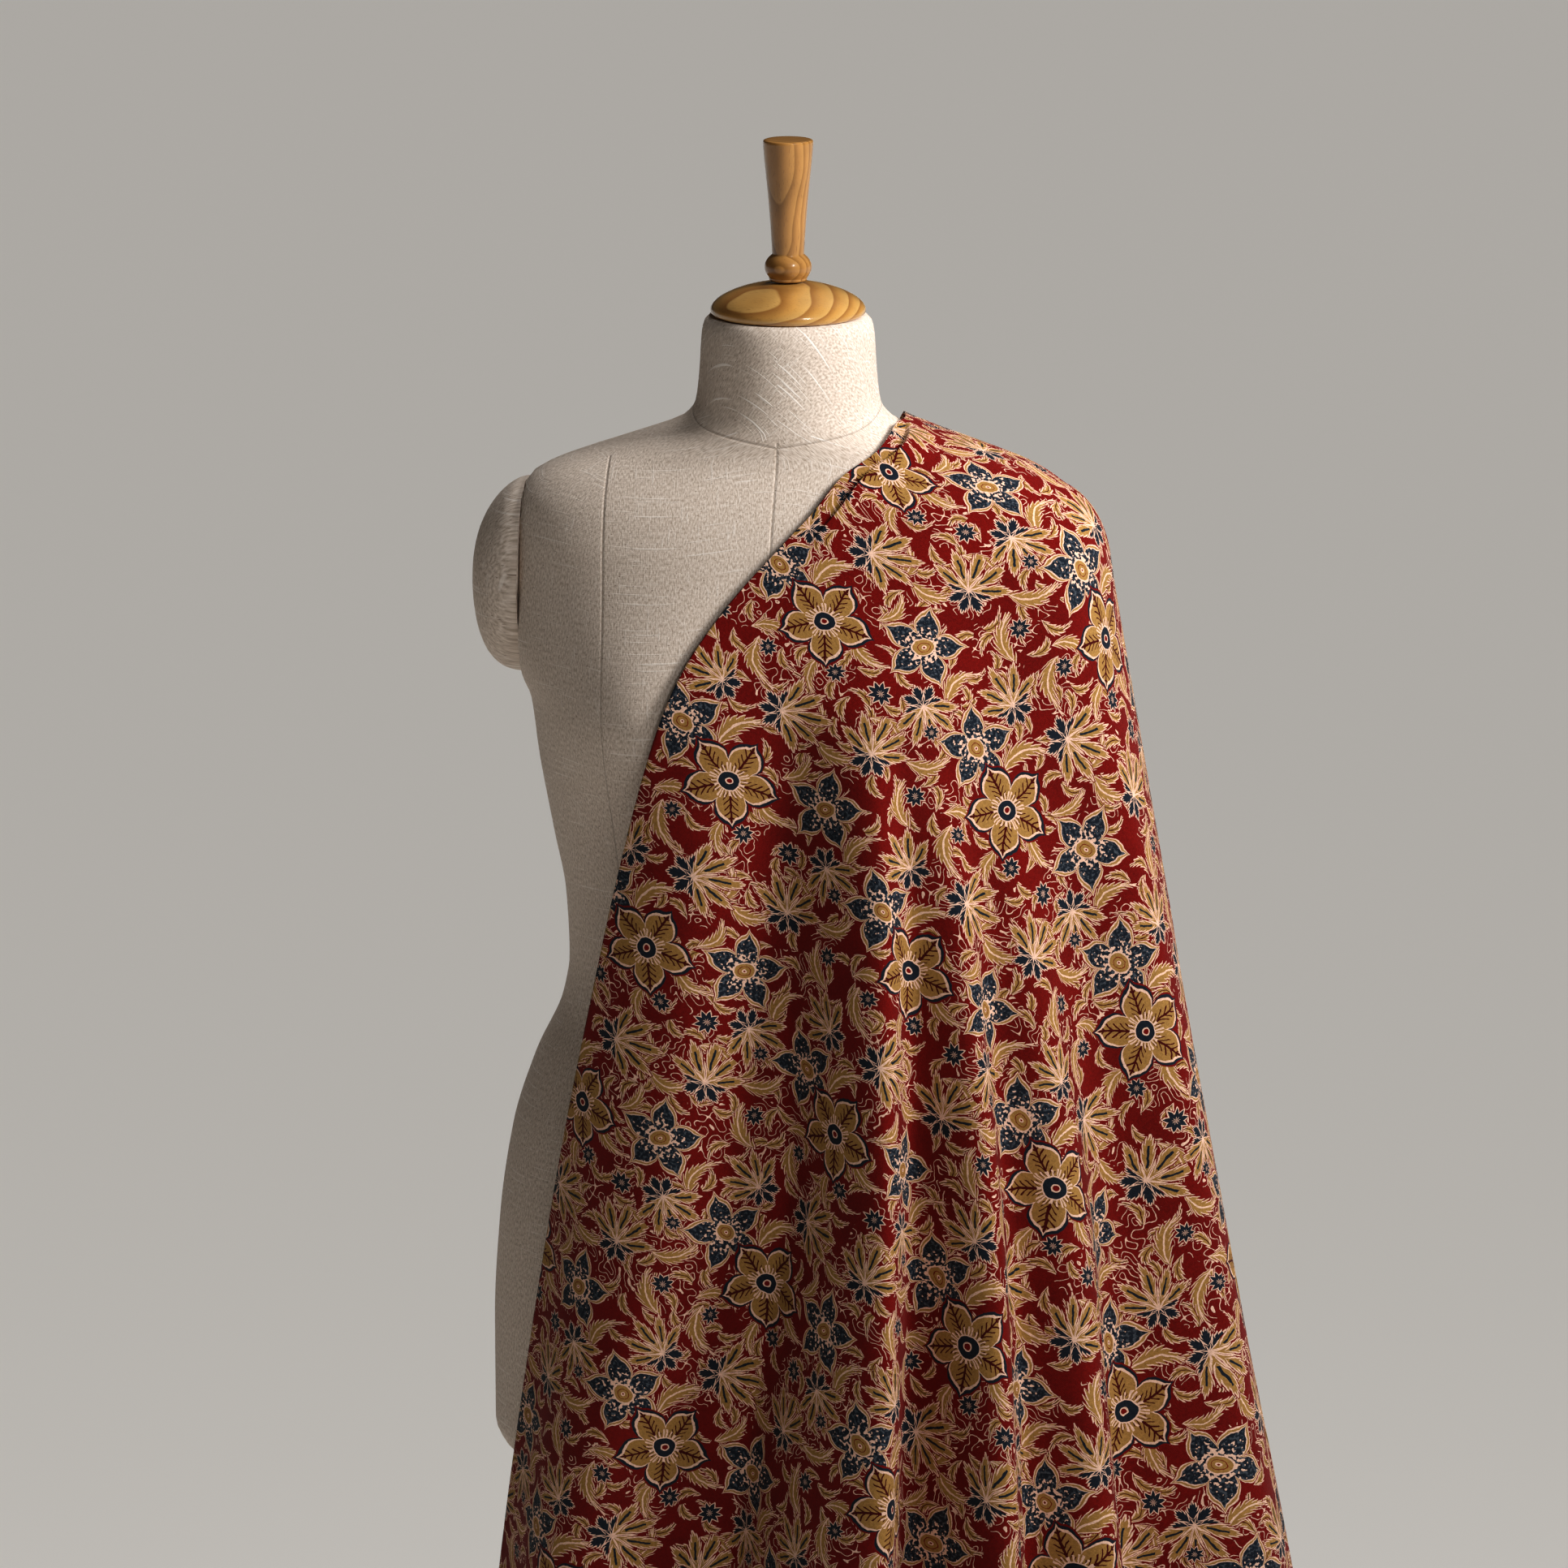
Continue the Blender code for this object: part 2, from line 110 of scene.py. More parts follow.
# %% Sections of the form
TORSO_SECTIONS = (
    ("z", "half_width", "front", "back", "squareness"),
    (0.750, 0.1710, 0.100, 0.112, 2.3),
    (0.756, 0.1780, 0.106, 0.118, 2.3),
    (0.770, 0.1838, 0.112, 0.124, 2.3),
    (0.835, 0.1837, 0.118, 0.128, 2.3),
    (0.900, 0.1800, 0.116, 0.124, 2.3),
    (0.960, 0.1712, 0.110, 0.112, 2.3),
    (1.005, 0.1570, 0.103, 0.098, 2.3),
    (1.045, 0.1392, 0.098, 0.088, 2.3),
    (1.070, 0.1352, 0.096, 0.085, 2.3),
    (1.110, 0.1370, 0.098, 0.086, 2.3),
    (1.150, 0.1443, 0.103, 0.091, 2.3),
    (1.200, 0.1530, 0.109, 0.100, 2.3),
    (1.235, 0.1572, 0.110, 0.105, 2.4),
    (1.250, 0.1640, 0.109, 0.107, 2.4),
    (1.275, 0.1710, 0.107, 0.108, 2.4),
    (1.330, 0.1720, 0.092, 0.103, 2.4),
    (1.354, 0.1700, 0.081, 0.094, 2.3),
    (1.366, 0.1620, 0.073, 0.086, 2.2),
    (1.375, 0.1492, 0.066, 0.078, 2.1),
    (1.386, 0.1215, 0.059, 0.069, 2.0),
    (1.396, 0.0914, 0.056, 0.063, 2.0),
    (1.406, 0.0655, 0.055, 0.059, 2.0),
    (1.417, 0.0565, 0.054, 0.056, 2.0),
    (1.437, 0.0540, 0.053, 0.055, 2.0),
    (1.460, 0.0525, 0.052, 0.053, 2.0),
    (1.467, 0.0508, 0.050, 0.051, 2.0),
    (1.470, 0.0480, 0.048, 0.048, 2.0),
)
TORSO_BOTTOM = 0.750
ARMHOLE_X = 0.160
BUST_HEIGHT = 1.232
BUST_ANGLE = math.radians(57.0)
BUST_RISE = 0.024
BUST_SPREAD_ANGLE = math.radians(24.0)
BUST_SPREAD_HEIGHT = 0.052


def read_table(table, column, at):
    """Smooth value of a table's column at the places given, by its first column."""
    header, *rows = table
    index = header.index(column)
    rows = sorted(rows)
    x = np.array([row[0] for row in rows], float)
    y = np.array([row[index] for row in rows], float)
    chords = np.diff(y) / np.diff(x)
    slopes = np.zeros_like(y)
    slopes[0] = chords[0]
    slopes[-1] = chords[-1]
    for i in range(1, len(y) - 1):
        if chords[i - 1] * chords[i] > 0:
            slopes[i] = 2.0 * chords[i - 1] * chords[i] / (chords[i - 1] + chords[i])
    at = np.clip(np.asarray(at, float), x[0], x[-1])
    k = np.clip(np.searchsorted(x, at, side="right") - 1, 0, len(x) - 2)
    width = x[k + 1] - x[k]
    t = (at - x[k]) / width
    return (
        (2 * t**3 - 3 * t**2 + 1) * y[k]
        + (t**3 - 2 * t**2 + t) * width * slopes[k]
        + (3 * t**2 - 2 * t**3) * y[k + 1]
        + (t**3 - t**2) * width * slopes[k + 1]
    )


def torso_radius(z, angle):
    """Distance from the form's axis to its surface, at a height and an angle."""
    half_width = read_table(TORSO_SECTIONS, "half_width", z)
    front = read_table(TORSO_SECTIONS, "front", z)
    back = read_table(TORSO_SECTIONS, "back", z)
    power = read_table(TORSO_SECTIONS, "squareness", z)
    cosine = np.abs(np.cos(angle))
    sine = np.abs(np.sin(angle))
    depth = np.where(np.sin(angle) < 0, front, back)
    radius = ((cosine / half_width) ** power + (sine / depth) ** power) ** (-1 / power)
    for side in (-1, 1):
        centre = -math.pi / 2 + side * (math.pi / 2 - BUST_ANGLE)
        away = ((angle - centre + math.pi) % (2 * math.pi) - math.pi) / BUST_SPREAD_ANGLE
        height = (z - BUST_HEIGHT) / BUST_SPREAD_HEIGHT
        radius = radius + BUST_RISE * np.exp(-(away**2) - height**2)
    flat = ARMHOLE_X / np.maximum(cosine, 1e-6)
    armhole = (z > BUST_HEIGHT) & (flat < radius)
    return np.where(armhole, flat, radius)


print("waist is", round(2 * float(torso_radius(1.07, 0.0)), 3), "m wide")

# %% [markdown]
# ## How the cloth hangs
# Cloth that is thrown over a shoulder rests on whatever stands out furthest,
# bridges the hollows, and then hangs straight down from there, swinging out a
# little as it falls. That is written here as a distance from the form's axis for
# every height and angle, so that no simulation has to be tuned: first the support,
# then the taut sections, then the fall, and last a table of fold lines. The frame's
# solid cloth comes from the same functions, so both have the same folds.

# %% Support for the cloth
CAP_CENTRE_Z = 1.3060
CAP_HALF_HEIGHT = 0.0605
CAP_HALF_DEPTH = 0.052
CAP_BULGE = 0.0340
CAP_SQUARENESS = 2.2
CAP_DROOP = 0.4
CAP_EASE_DEPTH = 0.014
CLOTH_CLEARANCE = 0.0036
CLOTH_TOP = 1.4090


def cap_bulge(y, z, ease=0.0):
    """How far a padded arm cap stands out from its armhole, fuller below its middle."""
    half_depth = CAP_HALF_DEPTH + ease
    rise = np.clip((z - CAP_CENTRE_Z) / CAP_HALF_HEIGHT, -1.0, 1.0)
    power = CAP_SQUARENESS - CAP_DROOP * rise
    reach = np.hypot(y / half_depth, (z - CAP_CENTRE_Z) / CAP_HALF_HEIGHT)
    inside = np.clip(1.0 - reach**power, 0.0, 1.0)
    return CAP_BULGE * inside ** (1.0 / power)


def support_radius(z, angle, ease=0.0):
    """Distance from the axis to whatever the cloth can lie on."""
    radius = torso_radius(z, angle)
    facing = np.cos(angle) > 0.5
    slant = np.where(facing, np.tan(angle), 0.0)
    x = np.full(np.shape(z), ARMHOLE_X)
    for _ in range(3):
        x = ARMHOLE_X + cap_bulge(x * slant, z, ease)
    cap = np.where(facing & (x > ARMHOLE_X), x / np.maximum(np.cos(angle), 0.5), 0.0)
    radius = np.maximum(radius, cap)
    return np.where((z < TORSO_BOTTOM) | (z > CLOTH_TOP), 0.0, radius)


print("the shoulder reaches", round(float(support_radius(np.array(1.306), 0.0)), 3), "m from the axis")

# %% [markdown]
# ### The fall
# The grid is worked out row by row from the shoulder down. Each section is first
# made convex, because taut cloth can't follow a hollow, and then no row may lie
# nearer the axis than the row above it plus its swing. A few rounds of averaging
# ease the corners, as the stiffness of the cloth does.

# %% The fall of the cloth
LEVEL_STEP = 0.004
TURN_STEP = 2.0
LOWEST_LEVEL = 0.400
EASE_PASSES = 5
FLARE = (
    ("angle", "slope"),
    (-170, 0.03),
    (-120, 0.06),
    (-90, 0.09),
    (-58, 0.13),
    (-30, 0.17),
    (0, 0.178),
    (60, 0.15),
    (120, 0.08),
    (170, 0.04),
)


def stretch_across(radius, turns):
    """Bridge the hollows of each horizontal section, as taut cloth does."""
    facing = np.cos(turns[:, None] - turns[None, :])
    reach = np.max(radius[:, :, None] * facing[None, :, :], axis=1)
    ahead = facing > 0.05
    limit = np.where(ahead[None, :, :], reach[:, None, :] / np.where(ahead, facing, 1.0), 9.0)
    return np.min(limit, axis=2)


def hanging_surface():
    """Radius of the cloth before its folds, on a grid of heights and angles."""
    heights = np.arange(LOWEST_LEVEL, CLOTH_TOP + LEVEL_STEP, LEVEL_STEP)
    turns = np.radians(np.arange(-180.0, 180.0, TURN_STEP))
    z, angle = np.meshgrid(heights, turns, indexing="ij")
    support = support_radius(z - CLOTH_CLEARANCE, angle, CAP_EASE_DEPTH)
    lying = stretch_across(support, turns) + CLOTH_CLEARANCE
    swing = read_table(FLARE, "slope", np.degrees(turns)) * LEVEL_STEP
    for i in range(len(heights) - 2, -1, -1):
        lying[i] = np.maximum(lying[i], lying[i + 1] + swing)
    for _ in range(EASE_PASSES):
        around = (np.roll(lying, 1, axis=1) + np.roll(lying, -1, axis=1)) / 2
        padded = np.vstack([2 * lying[:1] - lying[1:2], lying, 2 * lying[-1:] - lying[-2:-1]])
        along = (padded[:-2] + padded[2:]) / 2
        lying = (2 * lying + around + along) / 4
    return heights, turns, lying


def sample_surface(surface, z, angle):
    """Read the grid of radii between its points."""
    heights, turns, radius = surface
    row = np.clip((z - heights[0]) / LEVEL_STEP, 0, len(heights) - 1.001)
    column = (angle - turns[0]) / math.radians(TURN_STEP)
    i = row.astype(int)
    j = np.floor(column).astype(int)
    s = row - i
    t = column - j
    left = j % len(turns)
    right = (j + 1) % len(turns)
    lower = radius[i, left] * (1 - t) + radius[i, right] * t
    upper = radius[i + 1, left] * (1 - t) + radius[i + 1, right] * t
    return lower * (1 - s) + upper * s


SURFACE = hanging_surface()
print("grid of", SURFACE[2].shape, "radii, up to", round(float(SURFACE[2].max()), 3), "m")

# %% [markdown]
# ### Folds and edges
# A fold is a crest or a valley that runs down the cloth, so each is a row of a
# table: the angles, in degrees, at which it passes three levels, the height where
# it starts, and how far it stands out or dips at the lowest level. The front edge
# follows the photograph, and the back edge and the hem are guessed. The grid's
# columns run from edge to edge and crowd towards the front.

# %% Folds and edges of the cloth
FOLD_LEVELS = (1.150, 0.940, 0.735)
FOLDS = (
    ("name", "upper", "middle", "lower", "start", "size"),
    ("front_edge", -128, -142, -158, 1.30, -0.004),
    ("front_panel", -107, -111, -127, 1.30, 0.016),
    ("deep_valley", -83, -84, -99, 1.28, -0.040),
    ("bust_crest", -64, -67, -70, 1.26, 0.048),
    ("bust_valley", -56, -58, -62, 1.26, -0.010),
    ("second_crest", -48, -50, -53, 1.20, 0.046),
    ("second_valley", -41, -42, -45, 1.20, 0.000),
    ("side_crest", -35, -36, -39, 1.18, 0.038),
    ("side_valley", -22, -21, -24, 1.28, -0.038),
    ("last_crest", -14, -14, -15, 1.26, 0.022),
    ("side_hollow", 4, 5, 6, 1.10, -0.008),
    ("behind_crest", 24, 22, 20, 1.22, 0.020),
    ("behind_valley", 44, 42, 40, 1.24, -0.016),
    ("blade_crest", 62, 60, 58, 1.24, 0.028),
    ("blade_valley", 82, 80, 78, 1.20, -0.022),
    ("back_crest", 104, 102, 100, 1.16, 0.022),
    ("back_valley", 126, 124, 122, 1.10, -0.012),
    ("back_edge", 150, 150, 148, 1.10, 0.006),
)
FRONT_EDGE = (
    ("z", "x"),
    (1.409, 0.0690),
    (1.398, 0.0618),
    (1.383, 0.0405),
    (1.364, 0.0250),
    (1.346, 0.0080),
    (1.308, -0.0255),
    (1.271, -0.0500),
    (1.233, -0.0650),
    (1.153, -0.0865),
    (1.071, -0.1048),
    (0.966, -0.1269),
    (0.835, -0.1503),
    (0.702, -0.1713),
    (0.450, -0.2060),
)
BACK_EDGE = (
    ("z", "x"),
    (1.409, 0.0690),
    (1.394, 0.0600),
    (1.370, 0.0400),
    (1.330, 0.0080),
    (1.270, -0.0300),
    (1.150, -0.0700),
    (0.950, -0.1050),
    (0.700, -0.1450),
    (0.450, -0.1800),
)
HEM = (
    ("angle", "z"),
    (-170, 0.520),
    (-120, 0.497),
    (-70, 0.466),
    (-20, 0.452),
    (40, 0.462),
    (100, 0.490),
    (170, 0.515),
)
COLUMN_CROWDING = 0.42
SHOULDER_DROP = 0.130
SHOULDER_SHARE = 0.5
SHOULDER_CROWDING = 1.25
SKIRT_CROWDING = 1.15
SOFTNESS = 0.0012
EDGE_HALVINGS = 24


def fold_size(z, angle):
    """How far the folds move the cloth in or out, from the table of fold lines."""
    header, *rows = FOLDS
    turn = np.degrees(angle)
    level = np.array(sorted(FOLD_LEVELS))
    centres = []
    sizes = []
    for row in rows:
        fold = dict(zip(header, row))
        places = [fold["lower"], fold["middle"], fold["upper"]]
        centres.append(np.interp(z, level, places))
        fall = (fold["start"] - z) / (fold["start"] - level[0])
        sizes.append(fold["size"] * np.clip(fall, 0.0, 1.5) ** 0.8)
    result = np.where(turn < centres[0], sizes[0], sizes[-1])
    for i in range(len(rows) - 1):
        t = (turn - centres[i]) / (centres[i + 1] - centres[i])
        ease = t * t * (3 - 2 * t)
        between = (t >= 0) & (t <= 1)
        result = np.where(between, sizes[i] + (sizes[i + 1] - sizes[i]) * ease, result)
    return result


def cloth_radius(z, angle):
    """Distance from the axis to the outside of the cloth."""
    hanging = sample_surface(SURFACE, z, angle) + fold_size(z, angle)
    resting = support_radius(z - CLOTH_CLEARANCE, angle) + CLOTH_CLEARANCE
    return SOFTNESS * np.logaddexp(hanging / SOFTNESS, resting / SOFTNESS)


def fall_height(share, angle):
    """Height of a place on the cloth: share runs from its top edge to its hem."""
    shoulder = np.clip(share / SHOULDER_SHARE, 0.0, 1.0) ** SHOULDER_CROWDING
    below = np.clip((share - SHOULDER_SHARE) / (1 - SHOULDER_SHARE), 0.0, 1.0)
    skirt_top = CLOTH_TOP - SHOULDER_DROP
    skirt = (skirt_top - read_table(HEM, "z", np.degrees(angle))) * below**SKIRT_CROWDING
    return CLOTH_TOP - SHOULDER_DROP * shoulder - skirt


def edge_angle(share, table, side):
    """Angles at which the rows meet the front or back edge of the cloth."""
    near = np.full(len(share), math.radians(1.0) * side)
    far = np.full(len(share), math.radians(178.0) * side)
    for _ in range(EDGE_HALVINGS):
        middle = (near + far) / 2
        z = fall_height(share, middle)
        x = cloth_radius(z, middle) * np.cos(middle)
        short = x > read_table(table, "x", z)
        near = np.where(short, middle, near)
        far = np.where(short, far, middle)
    return (near + far) / 2


def drape(columns, rows):
    """Points of the draped cloth, as rows of columns from its top edge to its hem."""
    u = np.linspace(0.0, 1.0, columns + 1)
    across = u * (1 - COLUMN_CROWDING) + COLUMN_CROWDING * u**2
    share = np.linspace(0.0, 1.0, rows + 1)
    start = edge_angle(share, FRONT_EDGE, -1)
    end = edge_angle(share, BACK_EDGE, 1)
    angle = start[:, None] + (end - start)[:, None] * across[None, :]
    z = fall_height(share[:, None], angle)
    radius = cloth_radius(z.ravel(), angle.ravel()).reshape(z.shape)
    return np.stack([radius * np.cos(angle), radius * np.sin(angle), z], axis=2)


print("the front edge meets the hem at", drape(4, 4)[-1, 0].round(3))

# %% [markdown]
# ## The cloth as a mesh
# The cloth is one woven piece, so it is one grid of quads, and each vertex of a
# flat grid is moved to its place on the drape. Two creases are pressed into it: a
# tuck that runs down from the shoulder beside the front edge, and a fold line
# above the hem. Each is a sharp step outwards that eases off to one side.

# %% Cloth mesh
CLOTH_COLUMNS = 240
CLOTH_ROWS = 180
CLOTH_THICKNESS = 0.0010


def grid_mesh(columns, rows, places):
    """A grid of quads whose vertices are moved to the rows of places given."""
    data = bmesh.new()
    bmesh.ops.create_grid(data, x_segments=columns, y_segments=rows, size=0.5)
    row_layer = data.verts.layers.int.new("row")
    column_layer = data.verts.layers.int.new("column")
    for vertex in data.verts:
        vertex[row_layer] = round((0.5 - vertex.co.y) * rows)
        vertex[column_layer] = round((vertex.co.x + 0.5) * columns)
        vertex.co = places[vertex[row_layer], vertex[column_layer]]
    return data


def grid_index(mesh):
    """Row and column of the vertex at each corner of a grid's faces."""
    corners = np.zeros(len(mesh.loops), np.int32)
    mesh.loops.foreach_get("vertex_index", corners)
    index = []
    for name in ("row", "column"):
        values = np.zeros(len(mesh.vertices), np.int32)
        mesh.attributes[name].data.foreach_get("value", values)
        index.append(values[corners])
    return tuple(index)


def add_piece(name, data, replaced):
    """Turn a bmesh into a piece that rides on the frame and stands for its solids."""
    mesh = bpy.data.meshes.new(name)
    data.to_mesh(mesh)
    data.free()
    mesh.shade_smooth()
    piece = bpy.data.objects.new(name, mesh)
    bpy.context.scene.collection.objects.link(piece)
    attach(piece, "root")
    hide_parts(*replaced)
    return piece


CREASES = (
    ("name", "column", "aside", "first_row", "last_row", "lift", "spread"),
    ("shoulder_tuck", 0, 0.014, 2, 52, 0.0055, 0.030),
    ("hem_crease", 110, 0.0, 134, 190, 0.0035, 0.045),
)
CREASE_STEP = 0.0012
CREASE_FADE_IN = 6
CREASE_FADE_OUT = 3


def press_creases(places):
    """Step the cloth outwards beside a line down it, as a tuck or a pressed crease does."""
    outward = np.cross(np.gradient(places, axis=1), np.gradient(places, axis=0))
    outward /= np.linalg.norm(outward, axis=2)[:, :, None]
    outward *= np.sign((outward * places)[..., :2].sum(axis=2).mean())
    steps = np.linalg.norm(np.diff(places, axis=1), axis=2)
    across = np.concatenate([np.zeros((len(places), 1)), np.cumsum(steps, axis=1)], axis=1)
    rows = np.arange(len(places))[:, None]
    header, *creases = CREASES
    for row in creases:
        crease = dict(zip(header, row))
        after = across - across[:, crease["column"], None] - crease["aside"]
        step = np.clip(after / CREASE_STEP, 0.0, 1.0)
        shape = step * np.clip(1 - after / crease["spread"], 0.0, 1.0)
        run = (rows - crease["first_row"]) / (crease["last_row"] - crease["first_row"])
        fade = np.clip(np.minimum((1 - run) * CREASE_FADE_OUT, run * CREASE_FADE_IN), 0.0, 1.0)
        places = places + outward * (crease["lift"] * shape * fade)[:, :, None]
    return places


draped = press_creases(drape(CLOTH_COLUMNS, CLOTH_ROWS))
cloth_data = grid_mesh(CLOTH_COLUMNS, CLOTH_ROWS, draped)
cloth = add_piece("cotton_cloth", cloth_data, ["kalamkari_cloth"])
print("cloth:", len(cloth.data.polygons), "quads")

# %% [markdown]
# ### Flat pattern
# The print has to lie on the cloth as it does on the bolt, so a coarser grid of the
# same drape is flattened with as little stretch as possible, turned so that the
# front edge runs up the page, and scaled to real metres. The fine grid reads its
# flat places from that one, between its points.

# %% Flat pattern of the cloth
PATTERN_COLUMNS = 80
PATTERN_ROWS = 60


def flatten(columns, rows):
    """Flat places, in metres, of a grid of the drape, with its front edge up the page."""
    data = grid_mesh(columns, rows, drape(columns, rows))
    area = sum(face.calc_area() for face in data.faces)
    mesh = bpy.data.meshes.new("pattern")
    data.to_mesh(mesh)
    data.free()
    pattern = bpy.data.objects.new("pattern", mesh)
    bpy.context.scene.collection.objects.link(pattern)
    bpy.context.view_layer.objects.active = pattern
    pattern.select_set(True)
    bpy.ops.object.mode_set(mode="EDIT")
    bpy.ops.mesh.select_all(action="SELECT")
    bpy.ops.uv.unwrap(method="MINIMUM_STRETCH", margin=0.0)
    bpy.ops.object.mode_set(mode="OBJECT")
    corners = np.zeros(len(mesh.loops) * 2, np.float32)
    mesh.uv_layers.active.uv.foreach_get("vector", corners)
    page = np.zeros((rows + 1, columns + 1, 2))
    page[grid_index(mesh)] = corners.reshape(-1, 2)
    bpy.data.objects.remove(pattern)
    ahead = page[:-1, 1:] - page[1:, :-1]
    aside = page[1:, 1:] - page[:-1, :-1]
    page_area = np.abs(ahead[..., 0] * aside[..., 1] - ahead[..., 1] * aside[..., 0]).sum() / 2
    up = page[0, 0] - page[-1, 0]
    up /= np.linalg.norm(up)
    turned = np.stack([page @ (up[1], -up[0]), page @ up], axis=2)
    turned -= turned[-1, 0]
    return turned * math.sqrt(area / page_area), area


flat_places, cloth_area = flatten(PATTERN_COLUMNS, PATTERN_ROWS)
row_places = np.linspace(0, PATTERN_ROWS, CLOTH_ROWS + 1)
column_places = np.linspace(0, PATTERN_COLUMNS, CLOTH_COLUMNS + 1)
fine_flat = np.zeros((CLOTH_ROWS + 1, CLOTH_COLUMNS + 1, 2))
for axis in range(2):
    down = np.array([
        np.interp(row_places, np.arange(PATTERN_ROWS + 1), column)
        for column in flat_places[:, :, axis].T
    ]).T
    fine_flat[:, :, axis] = [
        np.interp(column_places, np.arange(PATTERN_COLUMNS + 1), row) for row in down
    ]
page = cloth.data.uv_layers.new(name="page")
page.uv.foreach_set("vector", fine_flat[grid_index(cloth.data)].astype(np.float32).ravel())

# %% [markdown]
# ### Thickness
# Printed cotton is about a third of a millimetre thick, and it is drawn 1 mm thick
# to stay clear of the form. A Solidify modifier grows it inwards, so its outer
# face stays on the drape.

# %% Thickness of the cloth
wall = cloth.modifiers.new("thickness", "SOLIDIFY")
wall.thickness = CLOTH_THICKNESS
wall.offset = -1.0
print("cloth is", CLOTH_THICKNESS * 1000, "mm thick")

# %% [markdown]
# ## The linen cover
# A dress form's cover is sewn from long panels: a centre front and back, side
# panels, and seams over the bust that fall from the shoulder. Each panel's grain
# runs straight down it, and the neck is a separate band cut on the bias, so its
# threads run askew. The skin is therefore built panel by panel: a tube is spun from
# one line of vertices, and each of its columns is led along the form so that every
# 24th one is a seam. Two UV maps go with it: the grain, in metres, and the
# distance from the nearest seam.

# %% Skin of the form
PANEL_COLUMNS = 24
FORM_STEP = 0.005
CLOSING_SHARES = (0.0, 0.5)
NECK_TOP = 1.470
NECK_GRAIN_TURN = math.radians(40.0)
FAR_FROM_SEAM = 0.2
PRINCESS_TOP = 1.389
PRINCESS_SHARE = 0.93
PRINCESS_SEAMS = (
    ("z", "front_x", "back_x"),
    (0.750, 0.1050, 0.098),
    (0.950, 0.0980, 0.090),
    (1.070, 0.0860, 0.080),
    (1.150, 0.0945, 0.088),
    (1.200, 0.0980, 0.094),
    (1.300, 0.1020, 0.100),
    (1.385, 0.1055, 0.105),
)
NECK_SEAM = (
    ("turn", "z"),
    (0, 1.3975),
    (45, 1.4050),
    (90, 1.4150),
    (135, 1.4170),
    (180, 1.4180),
)


def form_heights():
    """Heights of the skin's rings: each section, with steps between the far ones."""
    known = sorted(row[0] for row in TORSO_SECTIONS[1:])
    heights = [known[0]]
    for low, high in zip(known, known[1:]):
        parts = max(1, math.ceil((high - low) / FORM_STEP - 0.01))
        heights += [low + (high - low) * (k + 1) / parts for k in range(parts)]
    return np.array(heights)


def seam_angle(heights, column, middle):
    """Turn from a centre line, -90 or 90 degrees, to the seam that stands off it."""
    offset = np.minimum(
        read_table(PRINCESS_SEAMS, column, heights),
        PRINCESS_SHARE * read_table(TORSO_SECTIONS, "half_width", heights),
    )
    near = np.zeros(len(heights))
    far = np.full(len(heights), math.pi / 2)
    for _ in range(EDGE_HALVINGS):
        turn = (near + far) / 2
        short = torso_radius(heights, middle + turn) * np.sin(turn) < offset
        near = np.where(short, turn, near)
        far = np.where(short, far, turn)
    return (near + far) / 2


heights = form_heights()
quarter = np.full(len(heights), math.pi / 2)
front_turn = seam_angle(heights, "front_x", -math.pi / 2)
back_turn = seam_angle(heights, "back_x", math.pi / 2)
seams = np.stack([
    -2 * quarter,
    -quarter - front_turn,
    -quarter,
    -quarter + front_turn,
    0 * quarter,
    quarter - back_turn,
    quarter,
    quarter + back_turn,
    2 * quarter,
], axis=1)
PANELS = seams.shape[1] - 1
FORM_COLUMNS = PANELS * PANEL_COLUMNS
print("skin:", len(heights), "rings of", FORM_COLUMNS, "columns in", PANELS, "panels")

# %% [markdown]
# ### Where the threads run
# Each column keeps its share of a panel at every height. The distance up a column
# and the distance around from its seams place each vertex in the panel's own
# weave. The neck band starts at a seam that is 20 mm higher behind than in front.

# %% Places, grain and seams of the skin
share = np.arange(FORM_COLUMNS + 1) / PANEL_COLUMNS
angles = np.array([np.interp(share, np.arange(PANELS + 1), row) for row in seams])
levels = np.repeat(heights[:, None], FORM_COLUMNS + 1, axis=1)
radii = torso_radius(levels.ravel(), angles.ravel()).reshape(levels.shape)
skin = np.stack([radii * np.cos(angles), radii * np.sin(angles), levels], axis=2)
across = np.linalg.norm(np.diff(skin, axis=1), axis=2)
rise = np.linalg.norm(np.diff(skin, axis=0), axis=2)
height_along = np.vstack([np.zeros(FORM_COLUMNS + 1), np.cumsum(rise, axis=0)])
turn_from_front = np.degrees(np.abs((angles + math.pi / 2 + math.pi) % (2 * math.pi) - math.pi))
neck_seam = read_table(NECK_SEAM, "z", turn_from_front)
above_neck_seam = levels - neck_seam
from_neck_seam = np.zeros_like(levels)
for j in range(FORM_COLUMNS + 1):
    crossing = np.interp(0.0, above_neck_seam[:, j], height_along[:, j])
    from_neck_seam[:, j] = height_along[:, j] - crossing
print("neck seam is", round(float(neck_seam.min()), 4), "to", round(float(neck_seam.max()), 4), "m up")

# %% [markdown]
# ### Spinning the skin
# One upright line of vertices is spun to a tube, and two smaller rings close each
# end. The UV maps are written face by face, panel by panel, so that both sides of a
# seam keep their own threads, and then each vertex is moved to its place.

